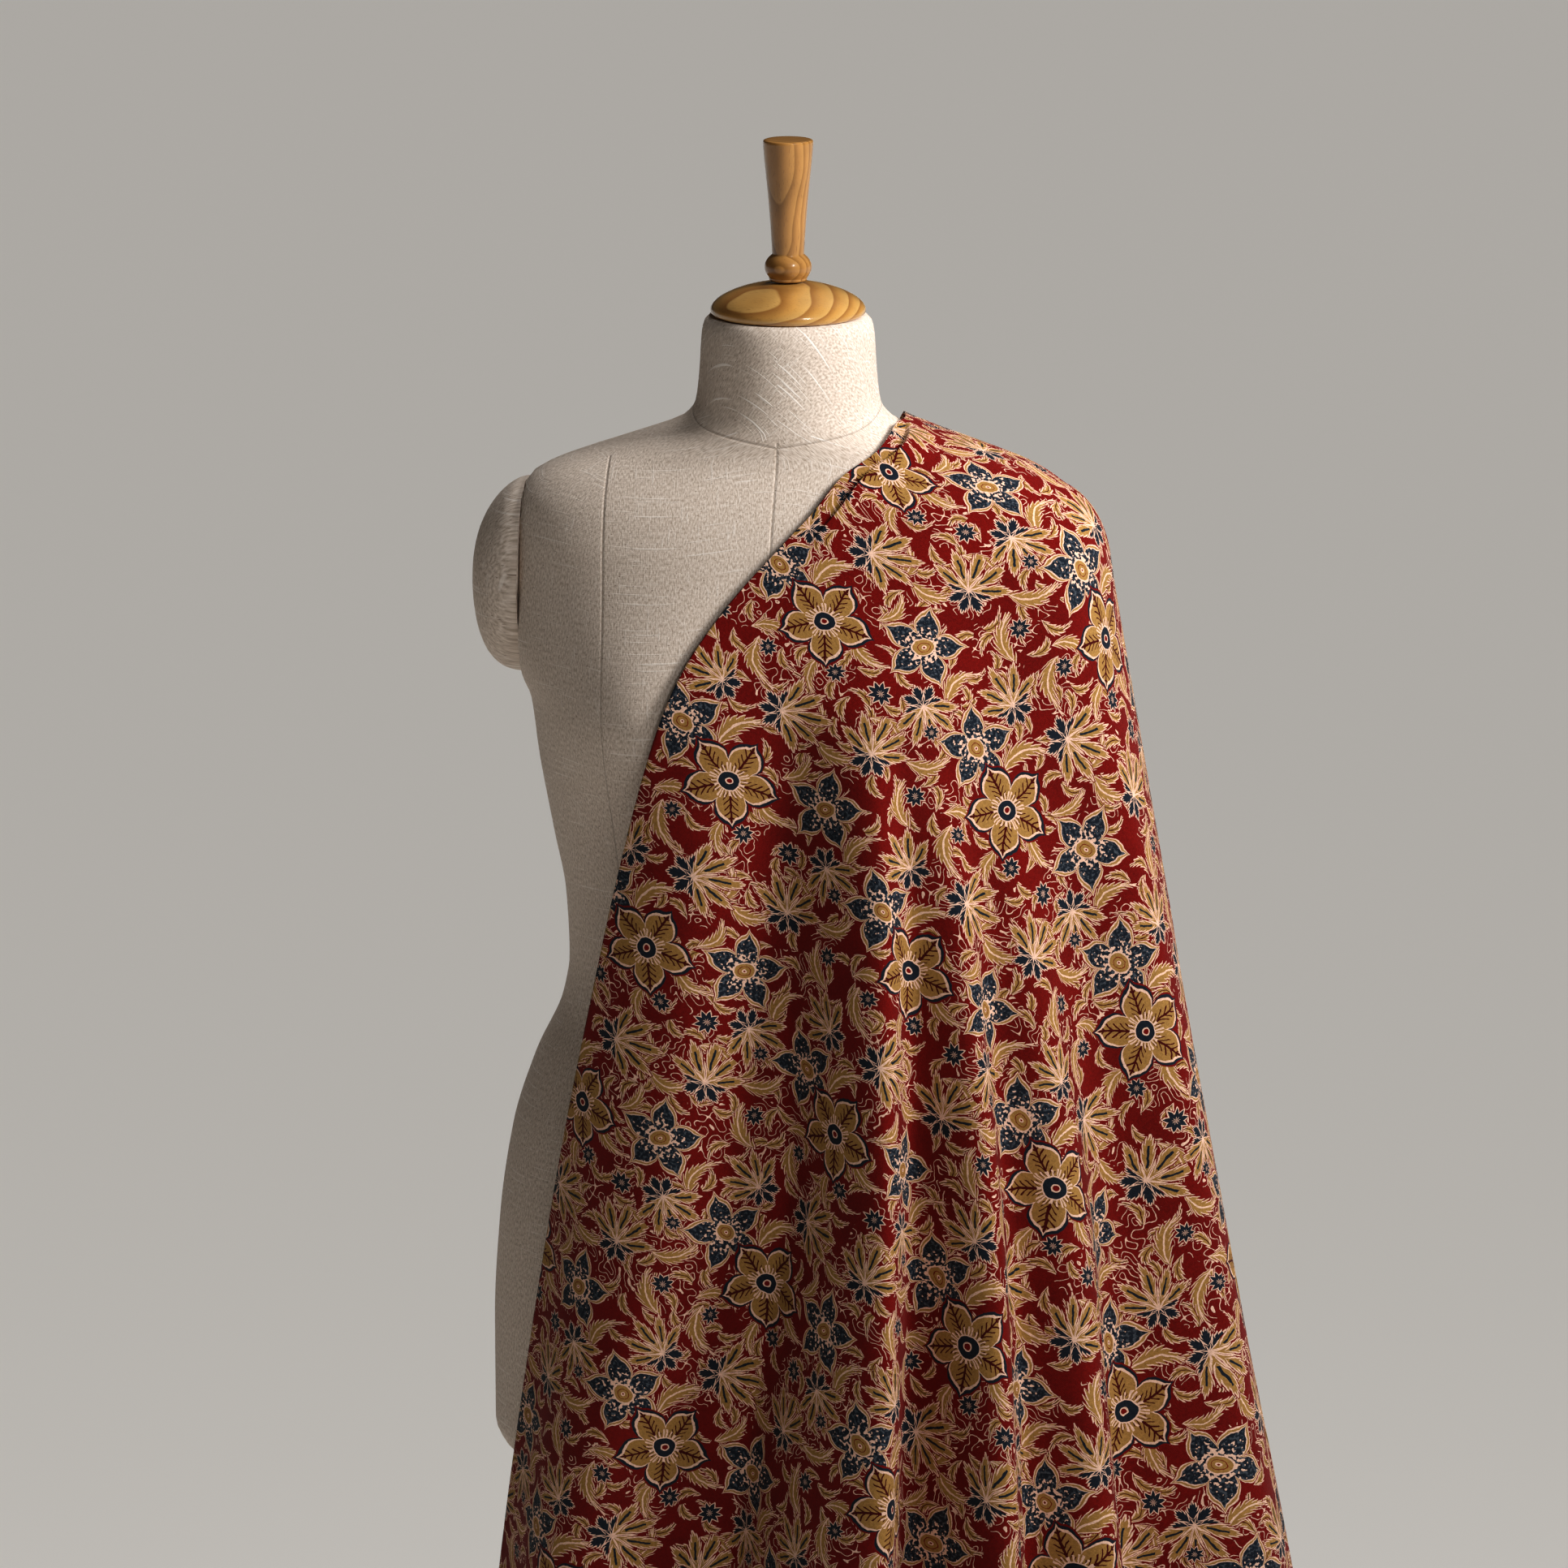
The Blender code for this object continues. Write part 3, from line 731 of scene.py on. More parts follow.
# %% Spin the skin and lay it on the form
skin_data = bmesh.new()
rings = [(0, share) for share in CLOSING_SHARES]
rings += [(k, 1.0) for k in range(len(heights))]
rings += [(len(heights) - 1, share) for share in reversed(CLOSING_SHARES)]
line = [skin_data.verts.new((1.0, 0.0, float(k))) for k in range(len(rings))]
line_edges = [skin_data.edges.new(pair) for pair in zip(line, line[1:])]
bmesh.ops.spin(
    skin_data,
    geom=line + line_edges,
    cent=(0.0, 0.0, 0.0),
    axis=(0.0, 0.0, 1.0),
    angle=2 * math.pi,
    steps=FORM_COLUMNS,
    use_merge=True,
)
grain_layer = skin_data.loops.layers.uv.new("grain")
seam_layer = skin_data.loops.layers.uv.new("seam")
place_of = {}
for vertex in skin_data.verts:
    turn = math.atan2(vertex.co.y, vertex.co.x) / (2 * math.pi) % 1.0
    place_of[vertex] = (round(vertex.co.z), round(turn * FORM_COLUMNS) % FORM_COLUMNS)
cosine, sine = math.cos(NECK_GRAIN_TURN), math.sin(NECK_GRAIN_TURN)
for face in skin_data.faces:
    columns = [place_of[loop.vert][1] for loop in face.loops]
    wraps = max(columns) - min(columns) > 1
    columns = [c + FORM_COLUMNS if wraps and c == 0 else c for c in columns]
    first = min(columns) // PANEL_COLUMNS * PANEL_COLUMNS
    ring = [rings[place_of[loop.vert][0]][0] for loop in face.loops]
    neck = all(from_neck_seam[k, c] > -1e-9 for k, c in zip(ring, columns))
    for loop, k, c in zip(face.loops, ring, columns):
        before = across[k, first:c].sum()
        after = across[k, c:first + PANEL_COLUMNS].sum()
        u = (before - after) / 2
        v = height_along[k, c]
        aside = FAR_FROM_SEAM if neck else min(before, after)
        if heights[k] > PRINCESS_TOP and (c // PANEL_COLUMNS) % 2 and c % PANEL_COLUMNS == 0:
            aside = FAR_FROM_SEAM
        if neck:
            u, v = u * cosine - v * sine, u * sine + v * cosine
        loop[grain_layer].uv = (u, v)
        loop[seam_layer].uv = (aside, from_neck_seam[k, c])
for vertex, (k, c) in place_of.items():
    ring, size = rings[k]
    x, y, z = skin[ring, c]
    vertex.co = (x * size, y * size, z)
bmesh.ops.remove_doubles(skin_data, verts=skin_data.verts, dist=1e-6)
bmesh.ops.recalc_face_normals(skin_data, faces=skin_data.faces)
linen_skin = add_piece("linen_skin", skin_data, ["torso"])
print("linen skin:", len(linen_skin.data.polygons), "faces")

# %% [markdown]
# ## The arm caps
# The armholes are closed with padded caps, covered in the same linen. A cap is a
# shallow dome with a flat back: half a sphere whose rings are moved to the same
# bulge that the cloth rests on.

# %% Arm caps
CAP_RINGS = 24
CAP_SIDES = 72
FIT_GAP = 0.0003


def build_arm_cap(name, side, replaced):
    data = bmesh.new()
    bmesh.ops.create_uvsphere(data, u_segments=CAP_SIDES, v_segments=2 * CAP_RINGS, radius=1.0)
    rotation = Matrix.Rotation(math.pi / 2, 3, "Y")
    bmesh.ops.rotate(data, verts=data.verts, cent=(0.0, 0.0, 0.0), matrix=rotation)
    bmesh.ops.bisect_plane(
        data,
        geom=data.verts[:] + data.edges[:] + data.faces[:],
        plane_co=(0.0, 0.0, 0.0),
        plane_no=(-1.0, 0.0, 0.0),
        clear_outer=True,
    )
    rim = [edge for edge in data.edges if edge.is_boundary]
    bmesh.ops.contextual_create(data, geom=rim)
    grain_layer = data.loops.layers.uv.new("grain")
    seam_layer = data.loops.layers.uv.new("seam")
    for vertex in data.verts:
        y = CAP_HALF_DEPTH * vertex.co.y
        z = CAP_CENTRE_Z + CAP_HALF_HEIGHT * vertex.co.z
        reach = math.hypot(vertex.co.y, vertex.co.z)
        bulge = float(cap_bulge(y, z)) if reach < 0.999 else 0.0
        vertex.co = (side * (ARMHOLE_X + FIT_GAP + bulge), y, z)
    for face in data.faces:
        for loop in face.loops:
            loop[grain_layer].uv = (loop.vert.co.y, loop.vert.co.z)
            loop[seam_layer].uv = (FAR_FROM_SEAM, -FAR_FROM_SEAM)
    bmesh.ops.recalc_face_normals(data, faces=data.faces)
    return add_piece(name, data, [replaced])


caps = [
    build_arm_cap("linen_cap_bare", -1, "arm_cap_bare"),
    build_arm_cap("linen_cap_draped", 1, "arm_cap_draped"),
]
print("arm caps:", [len(cap.data.polygons) for cap in caps], "faces")

# %% [markdown]
# ## Turned wood
# The neck plate, its handle, the pole and the base are turned on a lathe, so each
# is a profile spun about the form's axis. A Subdivision Surface modifier rounds the
# facets off. Where a turner leaves a crisp arris, the profile has two points close
# together, which hold the surface there.

# %% Turned pieces
TURNED_STEPS = 32
TURNED_LEVELS = 2
POLE_BOTTOM = 0.0343
NECK_CAP_BOTTOM = NECK_TOP + FIT_GAP
NECK_CAP_PROFILE = (
    (0.0000, 0.0000),
    (0.0440, 0.0000),
    (0.0462, 0.0000),
    (0.0478, 0.0018),
    (0.0476, 0.0052),
    (0.0440, 0.0092),
    (0.0370, 0.0133),
    (0.0270, 0.0169),
    (0.0150, 0.0196),
    (0.0000, 0.0202),
)
FINIAL_BOTTOM = NECK_CAP_BOTTOM + 0.0202 + FIT_GAP
FINIAL_PROFILE = (
    (0.0000, 0.0000),
    (0.0105, 0.0000),
    (0.0118, 0.0010),
    (0.0116, 0.0022),
    (0.0120, 0.0028),
    (0.0138, 0.0052),
    (0.0147, 0.0085),
    (0.0140, 0.0120),
    (0.0116, 0.0152),
    (0.0098, 0.0164),
    (0.0098, 0.0174),
    (0.0102, 0.0250),
    (0.0112, 0.0400),
    (0.0128, 0.0580),
    (0.0145, 0.0730),
    (0.0153, 0.0830),
    (0.0154, 0.0856),
    (0.0148, 0.0867),
    (0.0110, 0.0868),
    (0.0000, 0.0868),
)
POLE_PROFILE = (
    (0.0000, 0.0000),
    (0.0135, 0.0000),
    (0.0145, 0.0010),
    (0.0145, 0.0040),
    (0.0145, 0.7110),
    (0.0145, 0.7144),
    (0.0135, 0.7154),
    (0.0000, 0.7154),
)
BASE_PROFILE = (
    (0.0000, 0.0000),
    (0.1920, 0.0000),
    (0.1970, 0.0005),
    (0.2000, 0.0040),
    (0.2000, 0.0100),
    (0.2000, 0.0160),
    (0.1985, 0.0195),
    (0.1940, 0.0228),
    (0.1880, 0.0242),
    (0.1500, 0.0280),
    (0.0900, 0.0320),
    (0.0400, 0.0340),
    (0.0000, 0.0340),
)


def turn_piece(name, profile, bottom, replaced):
    """Spin a profile of radii and heights about the form's axis."""
    data = bmesh.new()
    points = [data.verts.new((radius, 0.0, bottom + z)) for radius, z in profile]
    edges = [data.edges.new(pair) for pair in zip(points, points[1:])]
    bmesh.ops.spin(
        data,
        geom=points + edges,
        cent=(0.0, 0.0, 0.0),
        axis=(0.0, 0.0, 1.0),
        angle=2 * math.pi,
        steps=TURNED_STEPS,
        use_merge=True,
    )
    bmesh.ops.remove_doubles(data, verts=data.verts, dist=1e-6)
    bmesh.ops.recalc_face_normals(data, faces=data.faces)
    piece = add_piece(name, data, [replaced])
    rounding = piece.modifiers.new("rounding", "SUBSURF")
    rounding.levels = TURNED_LEVELS
    rounding.render_levels = TURNED_LEVELS
    return piece


neck_plate = turn_piece("neck_plate", NECK_CAP_PROFILE, NECK_CAP_BOTTOM, "neck_cap")
handle = turn_piece("handle", FINIAL_PROFILE, FINIAL_BOTTOM, "finial")
pole = turn_piece("pole", POLE_PROFILE, POLE_BOTTOM, "stand_pole")
base = turn_piece("base", BASE_PROFILE, 0.0, "stand_base")
print("turned pieces:", [piece.name for piece in (neck_plate, handle, pole, base)])

# %% [markdown]
# ## Tools for materials
# Every colour is written as it would be picked from a photograph, as an sRGB hex
# value, and one function turns it to the linear light that the renderer adds up.
# One more function adds a node: its settings by name, and for each input either a
# value or the socket that feeds it.

# %% Colour and node helpers
def from_hex(code, alpha=1.0):
    """A colour in linear light from its sRGB hex value."""
    parts = [int(code[i:i + 2], 16) / 255 for i in (1, 3, 5)]
    linear = [p / 12.92 if p <= 0.04045 else ((p + 0.055) / 1.055) ** 2.4 for p in parts]
    return (*linear, alpha)


def add_node(tree, kind, inputs=None, out=0, stops=(), points=(), **settings):
    """Add a node with its settings and links, and return one of its outputs."""
    node = tree.nodes.new("ShaderNode" + kind)
    for name, value in settings.items():
        setattr(node, name, value)
    for socket, source in (inputs or {}).items():
        if isinstance(source, bpy.types.NodeSocket):
            tree.links.new(source, node.inputs[socket])
        else:
            node.inputs[socket].default_value = source
    if stops:
        elements = node.color_ramp.elements
        elements.remove(elements[1])
        elements[0].position, elements[0].color = stops[0]
        for place, colour in stops[1:]:
            elements.new(place).color = colour
    if points:
        curve = node.mapping.curves[0].points
        curve[0].location = points[0]
        curve[1].location = points[-1]
        for point in points[1:-1]:
            curve.new(*point)
        node.mapping.update()
    return node.outputs[out]


def new_material(name, roughness):
    """A material with a rough shader, and the node tree that it is built in."""
    material = bpy.data.materials.new(name)
    material.use_nodes = True
    shader = material.node_tree.nodes["Principled BSDF"]
    shader.inputs["Roughness"].default_value = roughness
    return material, material.node_tree, shader


print("madder red in linear light:", [round(part, 3) for part in from_hex("#75130f")])

# %% [markdown]
# ## Wood
# The neck plate and its handle are turned from a pale golden hardwood and
# varnished. A tree's rings are tubes around its heart. Where a flat plate cuts
# them nearly along their length they show as long nested ovals, and on the handle,
# whose axis follows the grain, as fine upright lines. One pattern gives both: the
# distance from a heart line, bent by noise and read as early wood and late wood.
# Short dark pores lie along the grain, and the varnish keeps the surface glossy.

# %% Varnished teak
PORE_STRENGTH = 0.5


def build_wood(name, colours, roughness, coat, grain, face, facing, heart_away, ring_mm, wander_mm):
    """Rings about a heart line behind a face, pores along it, and a varnish over both."""
    material, tree, shader = new_material(name, roughness)
    place = add_node(tree, "TexCoord", out=3)
    along = Vector(grain).normalized()
    outward = Vector(facing)
    outward = (outward - along * outward.dot(along)).normalized()
    turn = Matrix((outward, along.cross(outward), along))
    heart = Vector(face) - outward * heart_away
    aligned = add_node(
        tree, "Mapping", {0: place, 1: -(turn @ heart), 2: turn.to_euler()}
    )
    wander = add_node(tree, "TexNoise", {0: aligned, 2: 18.0, 3: 2.0}, out=1)
    shifted = add_node(tree, "VectorMath", {0: wander, 1: (0.5, 0.5, 0.5)}, operation="SUBTRACT")
    bent = add_node(
        tree, "VectorMath", {0: shifted, 1: (wander_mm / 1000,) * 3, 2: aligned}, operation="MULTIPLY_ADD"
    )
    flattened = add_node(tree, "VectorMath", {0: bent, 1: (1.0, 1.0, 0.0)}, operation="MULTIPLY")
    from_heart = add_node(tree, "VectorMath", {0: flattened}, out=1, operation="LENGTH")
    rings = add_node(tree, "Math", {0: from_heart, 1: 1000 / ring_mm}, operation="MULTIPLY")
    season = add_node(tree, "Math", {0: rings}, operation="FRACT")
    wood = add_node(tree, "ValToRGB", {0: season}, stops=[
        (0.0, from_hex(colours[0])),
        (0.50, from_hex(colours[1])),
        (0.90, from_hex(colours[2])),
        (0.96, from_hex(colours[0])),
        (1.0, from_hex(colours[0])),
    ])
    stretched = add_node(tree, "VectorMath", {0: aligned, 1: (2200, 2200, 130)}, operation="MULTIPLY")
    fibre = add_node(tree, "TexNoise", {0: stretched, 2: 1.0, 3: 2.0})
    pore = add_node(tree, "MapRange", {0: fibre, 1: 0.60, 2: 0.72, 3: 0.0, 4: PORE_STRENGTH})
    flecked = add_node(
        tree, "Mix", {0: pore, 6: wood, 7: from_hex(colours[3])}, out=2, data_type="RGBA"
    )
    patch = add_node(tree, "TexNoise", {0: place, 2: 45.0, 3: 2.0})
    tone = add_node(tree, "MapRange", {0: patch, 1: 0.3, 2: 0.7, 3: 0.88, 4: 1.08})
    toned = add_node(tree, "VectorMath", {0: flecked, 1: tone}, operation="MULTIPLY")
    tree.links.new(toned, shader.inputs["Base Color"])
    shader.inputs["Coat Weight"].default_value = coat
    shader.inputs["Coat Roughness"].default_value = 0.12
    relief = add_node(tree, "Bump", {0: 0.12, 1: 0.0003, "Height": fibre})
    tree.links.new(relief, shader.inputs["Normal"])
    return material


plate_wood = build_wood(
    "varnished_teak_flat_sawn", ("#c69b5c", "#bb8b4b", "#976836", "#6e4725"), 0.34, 1.0,
    (0.866, -0.5, 0.0), (-0.013, -0.0225, 1.4875), (-0.195, -0.338, 0.92), 0.24875, 5.5, 8.0,
)
handle_wood = build_wood(
    "varnished_teak_upright", ("#b0824a", "#a67843", "#8a6132", "#654021"), 0.34, 0.8,
    (0.03, 0.02, 1.0), (0.0, -0.012, 1.54), (-0.3, -1.0, 0.0), 0.070, 4.2, 9.0,
)
stand_wood = build_wood(
    "stained_beech", ("#5a3722", "#523120", "#3f2417", "#24140c"), 0.42, 0.4,
    (1.0, 0.1, 0.0), (0.0, 0.0, 0.034), (0.0, 0.2, 1.0), 0.300, 9.0, 12.0,
)
pole_wood = build_wood(
    "stained_beech_upright", ("#5a3722", "#523120", "#3f2417", "#24140c"), 0.42, 0.4,
    (0.02, 0.0, 1.0), (0.0, -0.014, 0.4), (0.0, -1.0, 0.0), 0.060, 4.0, 9.0,
)
for piece, material in (
    (neck_plate, plate_wood),
    (handle, handle_wood),
    (base, stand_wood),
    (pole, pole_wood),
):
    piece.data.materials.append(material)
print("wood on", [piece.name for piece in (neck_plate, handle, base, pole)])

# %% [markdown]
# ## Linen canvas
# The cover is natural, undyed linen in plain weave. Linen yarn is uneven: thick
# stretches, called slubs, show as pale raised threads in both directions, and bits
# of darker straw as flecks. Real threads are about half a millimetre apart, which
# is one pixel of the photograph, so the fine weave is drawn at 1.1 mm to show at
# all. The slubs are noise stretched along the thread, 35 times in the weft and 14
# times in the warp. Seams are read from the second UV map: a dark line where the
# cloth dips, with soft shoulders.

# %% Linen canvas
LINEN_THREAD_MM = 1.1
SEAM_WIDTH_MM = 0.6
SEAM_SHOULDER_MM = 1.6
YARN_PER_MM = (1.0, 0.42, 0)
WEFT_PER_MM = (0.02, 0.7, 0)
WARP_PER_MM = (0.55, 0.04, 0)
FLECK_PER_MM = (0.5, 0.9, 0)
linen, tree, shader = new_material("linen_canvas_plain_weave", 0.92)
grain = add_node(tree, "UVMap", uv_map="grain")
grain_mm = add_node(tree, "VectorMath", {0: grain, 1: (1000, 1000, 0)}, operation="MULTIPLY")
seam_map = add_node(tree, "UVMap", uv_map="seam")
seam_mm = add_node(tree, "VectorMath", {0: seam_map, 1: (1000, 1000, 0)}, operation="MULTIPLY")
seam_parts = add_node(tree, "SeparateXYZ", {0: seam_mm}).node
on_neck = add_node(tree, "Math", {0: seam_parts.outputs[1], 1: 0.0}, operation="GREATER_THAN")
fine_space = add_node(tree, "VectorMath", {0: grain_mm, 1: YARN_PER_MM}, operation="MULTIPLY")
fine = add_node(tree, "TexNoise", {0: fine_space, 2: 1.0, 3: 2.0}, noise_dimensions="2D")
yarn = add_node(tree, "ValToRGB", {0: fine}, stops=[
    (0.30, from_hex("#b7a696")),
    (0.46, from_hex("#cfbeaf")),
    (0.58, from_hex("#d9cabc")),
    (0.72, from_hex("#e6d8cb")),
])
weft_space = add_node(tree, "VectorMath", {0: grain_mm, 1: WEFT_PER_MM}, operation="MULTIPLY")
warp_space = add_node(tree, "VectorMath", {0: grain_mm, 1: WARP_PER_MM}, operation="MULTIPLY")
weft = add_node(tree, "TexNoise", {0: weft_space, 2: 1.0, 3: 1.0}, noise_dimensions="2D")
warp = add_node(tree, "TexNoise", {0: warp_space, 2: 1.0, 3: 1.0}, noise_dimensions="2D")
weft = add_node(tree, "Math", {0: on_neck, 1: 0.03, 2: weft}, operation="MULTIPLY_ADD")
thick = add_node(tree, "Math", {0: on_neck, 1: 0.4, 2: 0.5}, operation="MULTIPLY_ADD")
slub = add_node(tree, "MapRange", {0: weft, 1: 0.70, 2: 0.75, 3: 0.0, 4: thick})
warp_slub = add_node(tree, "MapRange", {0: warp, 1: 0.70, 2: 0.80, 3: 0.0, 4: 0.4})
slubs = add_node(tree, "Math", {0: slub, 1: warp_slub}, operation="MAXIMUM")
paler = add_node(tree, "Mix", {0: slubs, 6: yarn, 7: from_hex("#f4ebe2")}, out=2, data_type="RGBA")
fleck_space = add_node(tree, "VectorMath", {0: grain_mm, 1: FLECK_PER_MM}, operation="MULTIPLY")
fleck = add_node(tree, "TexNoise", {0: fleck_space, 2: 1.0, 3: 1.0}, noise_dimensions="2D")
straw = add_node(tree, "MapRange", {0: fleck, 1: 0.73, 2: 0.80, 3: 0.0, 4: 0.7})
flecked = add_node(
    tree, "Mix", {0: straw, 6: paler, 7: from_hex("#6d5a47")}, out=2, data_type="RGBA"
)
ring_away = add_node(tree, "Math", {0: seam_parts.outputs[1]}, operation="ABSOLUTE")
seam_away = add_node(tree, "Math", {0: seam_parts.outputs[0], 1: ring_away}, operation="MINIMUM")
stitch = add_node(
    tree, "MapRange", {0: seam_away, 1: SEAM_WIDTH_MM * 0.3, 2: SEAM_WIDTH_MM, 3: 0.4, 4: 0.0}
)
seamed = add_node(
    tree, "Mix", {0: stitch, 6: flecked, 7: from_hex("#6b5c4c")}, out=2, data_type="RGBA"
)
age = add_node(tree, "TexNoise", {0: add_node(tree, "TexCoord", out=3), 2: 7.0, 3: 3.0})
age_tone = add_node(tree, "MapRange", {0: age, 1: 0.3, 2: 0.7, 3: 0.92, 4: 1.02})
aged = add_node(tree, "VectorMath", {0: seamed, 1: age_tone}, operation="MULTIPLY")
tree.links.new(aged, shader.inputs["Base Color"])
shader.inputs["Sheen Weight"].default_value = 0.05
shader.inputs["Sheen Roughness"].default_value = 0.5
print("linen colour nodes:", len(tree.nodes))

# %% [markdown]
# ### Relief of the linen
# Plain weave is two sets of waves at right angles. Yarn and slubs stand about a
# tenth of a millimetre proud of it, and the cloth dips by 0.3 mm into each seam.

# %% Relief of the linen
linen_scale = 2 * math.pi / LINEN_THREAD_MM / 20
warp_wave = add_node(
    tree, "TexWave", {0: grain_mm, 1: linen_scale, 2: 1.0, 3: 1.0}, out=1, bands_direction="X"
)
weft_wave = add_node(
    tree, "TexWave", {0: grain_mm, 1: linen_scale, 2: 1.0, 3: 1.0}, out=1, bands_direction="Y"
)
weave = add_node(tree, "Math", {0: warp_wave, 1: weft_wave}, operation="MAXIMUM")
weave_mm = add_node(tree, "Math", {0: weave, 1: 0.04}, operation="MULTIPLY")
slub_mm = add_node(tree, "Math", {0: slubs, 1: 0.12, 2: weave_mm}, operation="MULTIPLY_ADD")
yarn_mm = add_node(tree, "Math", {0: fine, 1: 0.10, 2: slub_mm}, operation="MULTIPLY_ADD")
dip_mm = add_node(
    tree, "MapRange", {0: seam_away, 1: 0.0, 2: SEAM_SHOULDER_MM, 3: -0.3, 4: 0.0},
    interpolation_type="SMOOTHSTEP",
)
linen_height = add_node(tree, "Math", {0: yarn_mm, 1: dip_mm}, operation="ADD")
relief = add_node(tree, "Bump", {0: 1.0, 1: 0.001, "Height": linen_height})
tree.links.new(relief, shader.inputs["Normal"])
for piece in (linen_skin, *caps):
    piece.data.materials.append(linen)
print("linen nodes:", len(tree.nodes))

# %% [markdown]
# ## The kalamkari print
# Block-printed kalamkari is cotton dyed with madder red, indigo and a tan from
# pomegranate rind, with pale lines where wax or the bare cloth shows. The same
# block is set down again and again: here every 165 mm across and 130 mm along the
# cloth, each column 95 mm higher than the last. Nothing is painted from a
# picture. Every motif is a shape worked out from its distance to an outline, in
# millimetres, and coloured in bands from that outline inwards, as a block cutter
# would carve it. All motifs are read in flat cloth millimetres, wavering a little
# as a hand-cut block does.

# %% Ground of the print
MADDER = from_hex("#75130f")
DEEP_MADDER = from_hex("#480d0c")
TAN = from_hex("#a67d46")
PALE = from_hex("#efc5ad")
INDIGO = from_hex("#20262f")
SLATE = from_hex("#50565d")
NO_INK = (0.0, 0.0, 0.0, 0.0)
REPEAT_ACROSS_MM = 165.0
REPEAT_ALONG_MM = 130.0
COLUMN_RISE_MM = 95.0
PRINT_START_MM = (141.0, -24.0)
PRINT_TURN = math.radians(6.4)
WAVERS = (("size_mm", "reach_mm"), (16.0, 2.6), (3.2, 0.9))

cotton, tree, shader = new_material("block_printed_cotton", 0.88)
page_map = add_node(tree, "UVMap", uv_map="page")
page_mm = add_node(
    tree,
    "Mapping",
    {0: page_map, 1: (*PRINT_START_MM, 0), 2: (0, 0, PRINT_TURN), 3: (1000, 1000, 1)},
)
drawn = page_mm
for size_mm, reach_mm in WAVERS[1:]:
    waver = add_node(
        tree, "TexNoise", {0: page_mm, 2: 1 / size_mm, 3: 1.0}, out=1, noise_dimensions="2D"
    )
    centred = add_node(tree, "VectorMath", {0: waver, 1: (0.5, 0.5, 0.5)}, operation="SUBTRACT")
    drawn = add_node(
        tree, "VectorMath", {0: centred, 1: (reach_mm, reach_mm, 0), 2: drawn},
        operation="MULTIPLY_ADD",
    )
step_across = add_node(
    tree, "VectorMath", {0: drawn, 1: (1 / REPEAT_ACROSS_MM, 0, 0)}, out=1, operation="DOT_PRODUCT"
)
step_along = add_node(
    tree,
    "VectorMath",
    {0: drawn, 1: (-COLUMN_RISE_MM / REPEAT_ACROSS_MM / REPEAT_ALONG_MM, 1 / REPEAT_ALONG_MM, 0)},
    out=1,
    operation="DOT_PRODUCT",
)
lattice = add_node(tree, "CombineXYZ", {0: step_across, 1: step_along})
fade = add_node(tree, "TexNoise", {0: page_mm, 2: 0.03, 3: 3.0}, noise_dimensions="2D")
dye = add_node(tree, "TexNoise", {0: page_mm, 2: 0.5, 3: 3.0}, noise_dimensions="2D")
speck = add_node(tree, "TexNoise", {0: page_mm, 2: 1.3, 3: 2.0}, noise_dimensions="2D")
print("print repeats every", REPEAT_ACROSS_MM, "by", REPEAT_ALONG_MM, "mm")

# %% [markdown]
# ### Tools of the print
# A block is used over and over, so a motif is found by wrapping the lattice about
# its place on the block and turning it. Where a motif has several prints, the
# nearest one is taken. A colour ramp with constant steps makes bands of ink from
# the distance to its outline, and each ink is laid over those below it.

# %% Tools of the print
BANDS_FROM_MM = -10.0
BANDS_TO_MM = 4.0


def nearest_motif(tree, lattice, motifs):
    """Place in the nearest of a motif's prints, turned with it; one is its radius."""
    header, *rows = motifs
    best, best_reach = None, None
    for row in rows:
        motif = dict(zip(header, row))
        turn = math.radians(motif["turn"])
        cosine, sine = math.cos(turn) / motif["radius"], math.sin(turn) / motif["radius"]
        across, along, climb = REPEAT_ACROSS_MM, REPEAT_ALONG_MM, COLUMN_RISE_MM
        s = motif["across"] / across
        t = (motif["along"] - climb * s) / along
        shifted = add_node(tree, "VectorMath", {0: lattice, 1: (s, t, 0)}, operation="SUBTRACT")
        wrapped = add_node(
            tree, "VectorMath", {0: shifted, 1: (0.5, 0.5, 0.5), 2: (-0.5, -0.5, -0.5)},
            operation="WRAP",
        )
        x_axis = (across * cosine + climb * sine, along * sine, 0)
        y_axis = (-across * sine + climb * cosine, along * cosine, 0)
        flip = motif.get("bend", 1.0)
        y_axis = tuple(part * (1 if flip > 0 else -1) for part in y_axis)
        x = add_node(tree, "VectorMath", {0: wrapped, 1: x_axis}, out=1, operation="DOT_PRODUCT")
        y = add_node(tree, "VectorMath", {0: wrapped, 1: y_axis}, out=1, operation="DOT_PRODUCT")
        local = add_node(tree, "CombineXYZ", {0: x, 1: y})
        if best is None and len(rows) == 1:
            return local
        measured = add_node(
            tree, "VectorMath", {0: local, 1: (1.0, motif.get("slim", 1.0), 0)},
            operation="MULTIPLY",
        )
        reach = add_node(tree, "VectorMath", {0: measured}, out=1, operation="LENGTH")
        if best is None:
            best, best_reach = local, reach
            continue
        nearer = add_node(tree, "Math", {0: reach, 1: best_reach}, operation="LESS_THAN")
        best = add_node(tree, "Mix", {0: nearer, 4: best, 5: local}, out=1, data_type="VECTOR")
        best_reach = add_node(tree, "Math", {0: reach, 1: best_reach}, operation="MINIMUM")
    return best


def lay_over(tree, below, ink, mask):
    """Print one ink over another where the mask is one."""
    return add_node(tree, "Mix", {0: mask, 6: below, 7: ink}, out=2, data_type="RGBA")


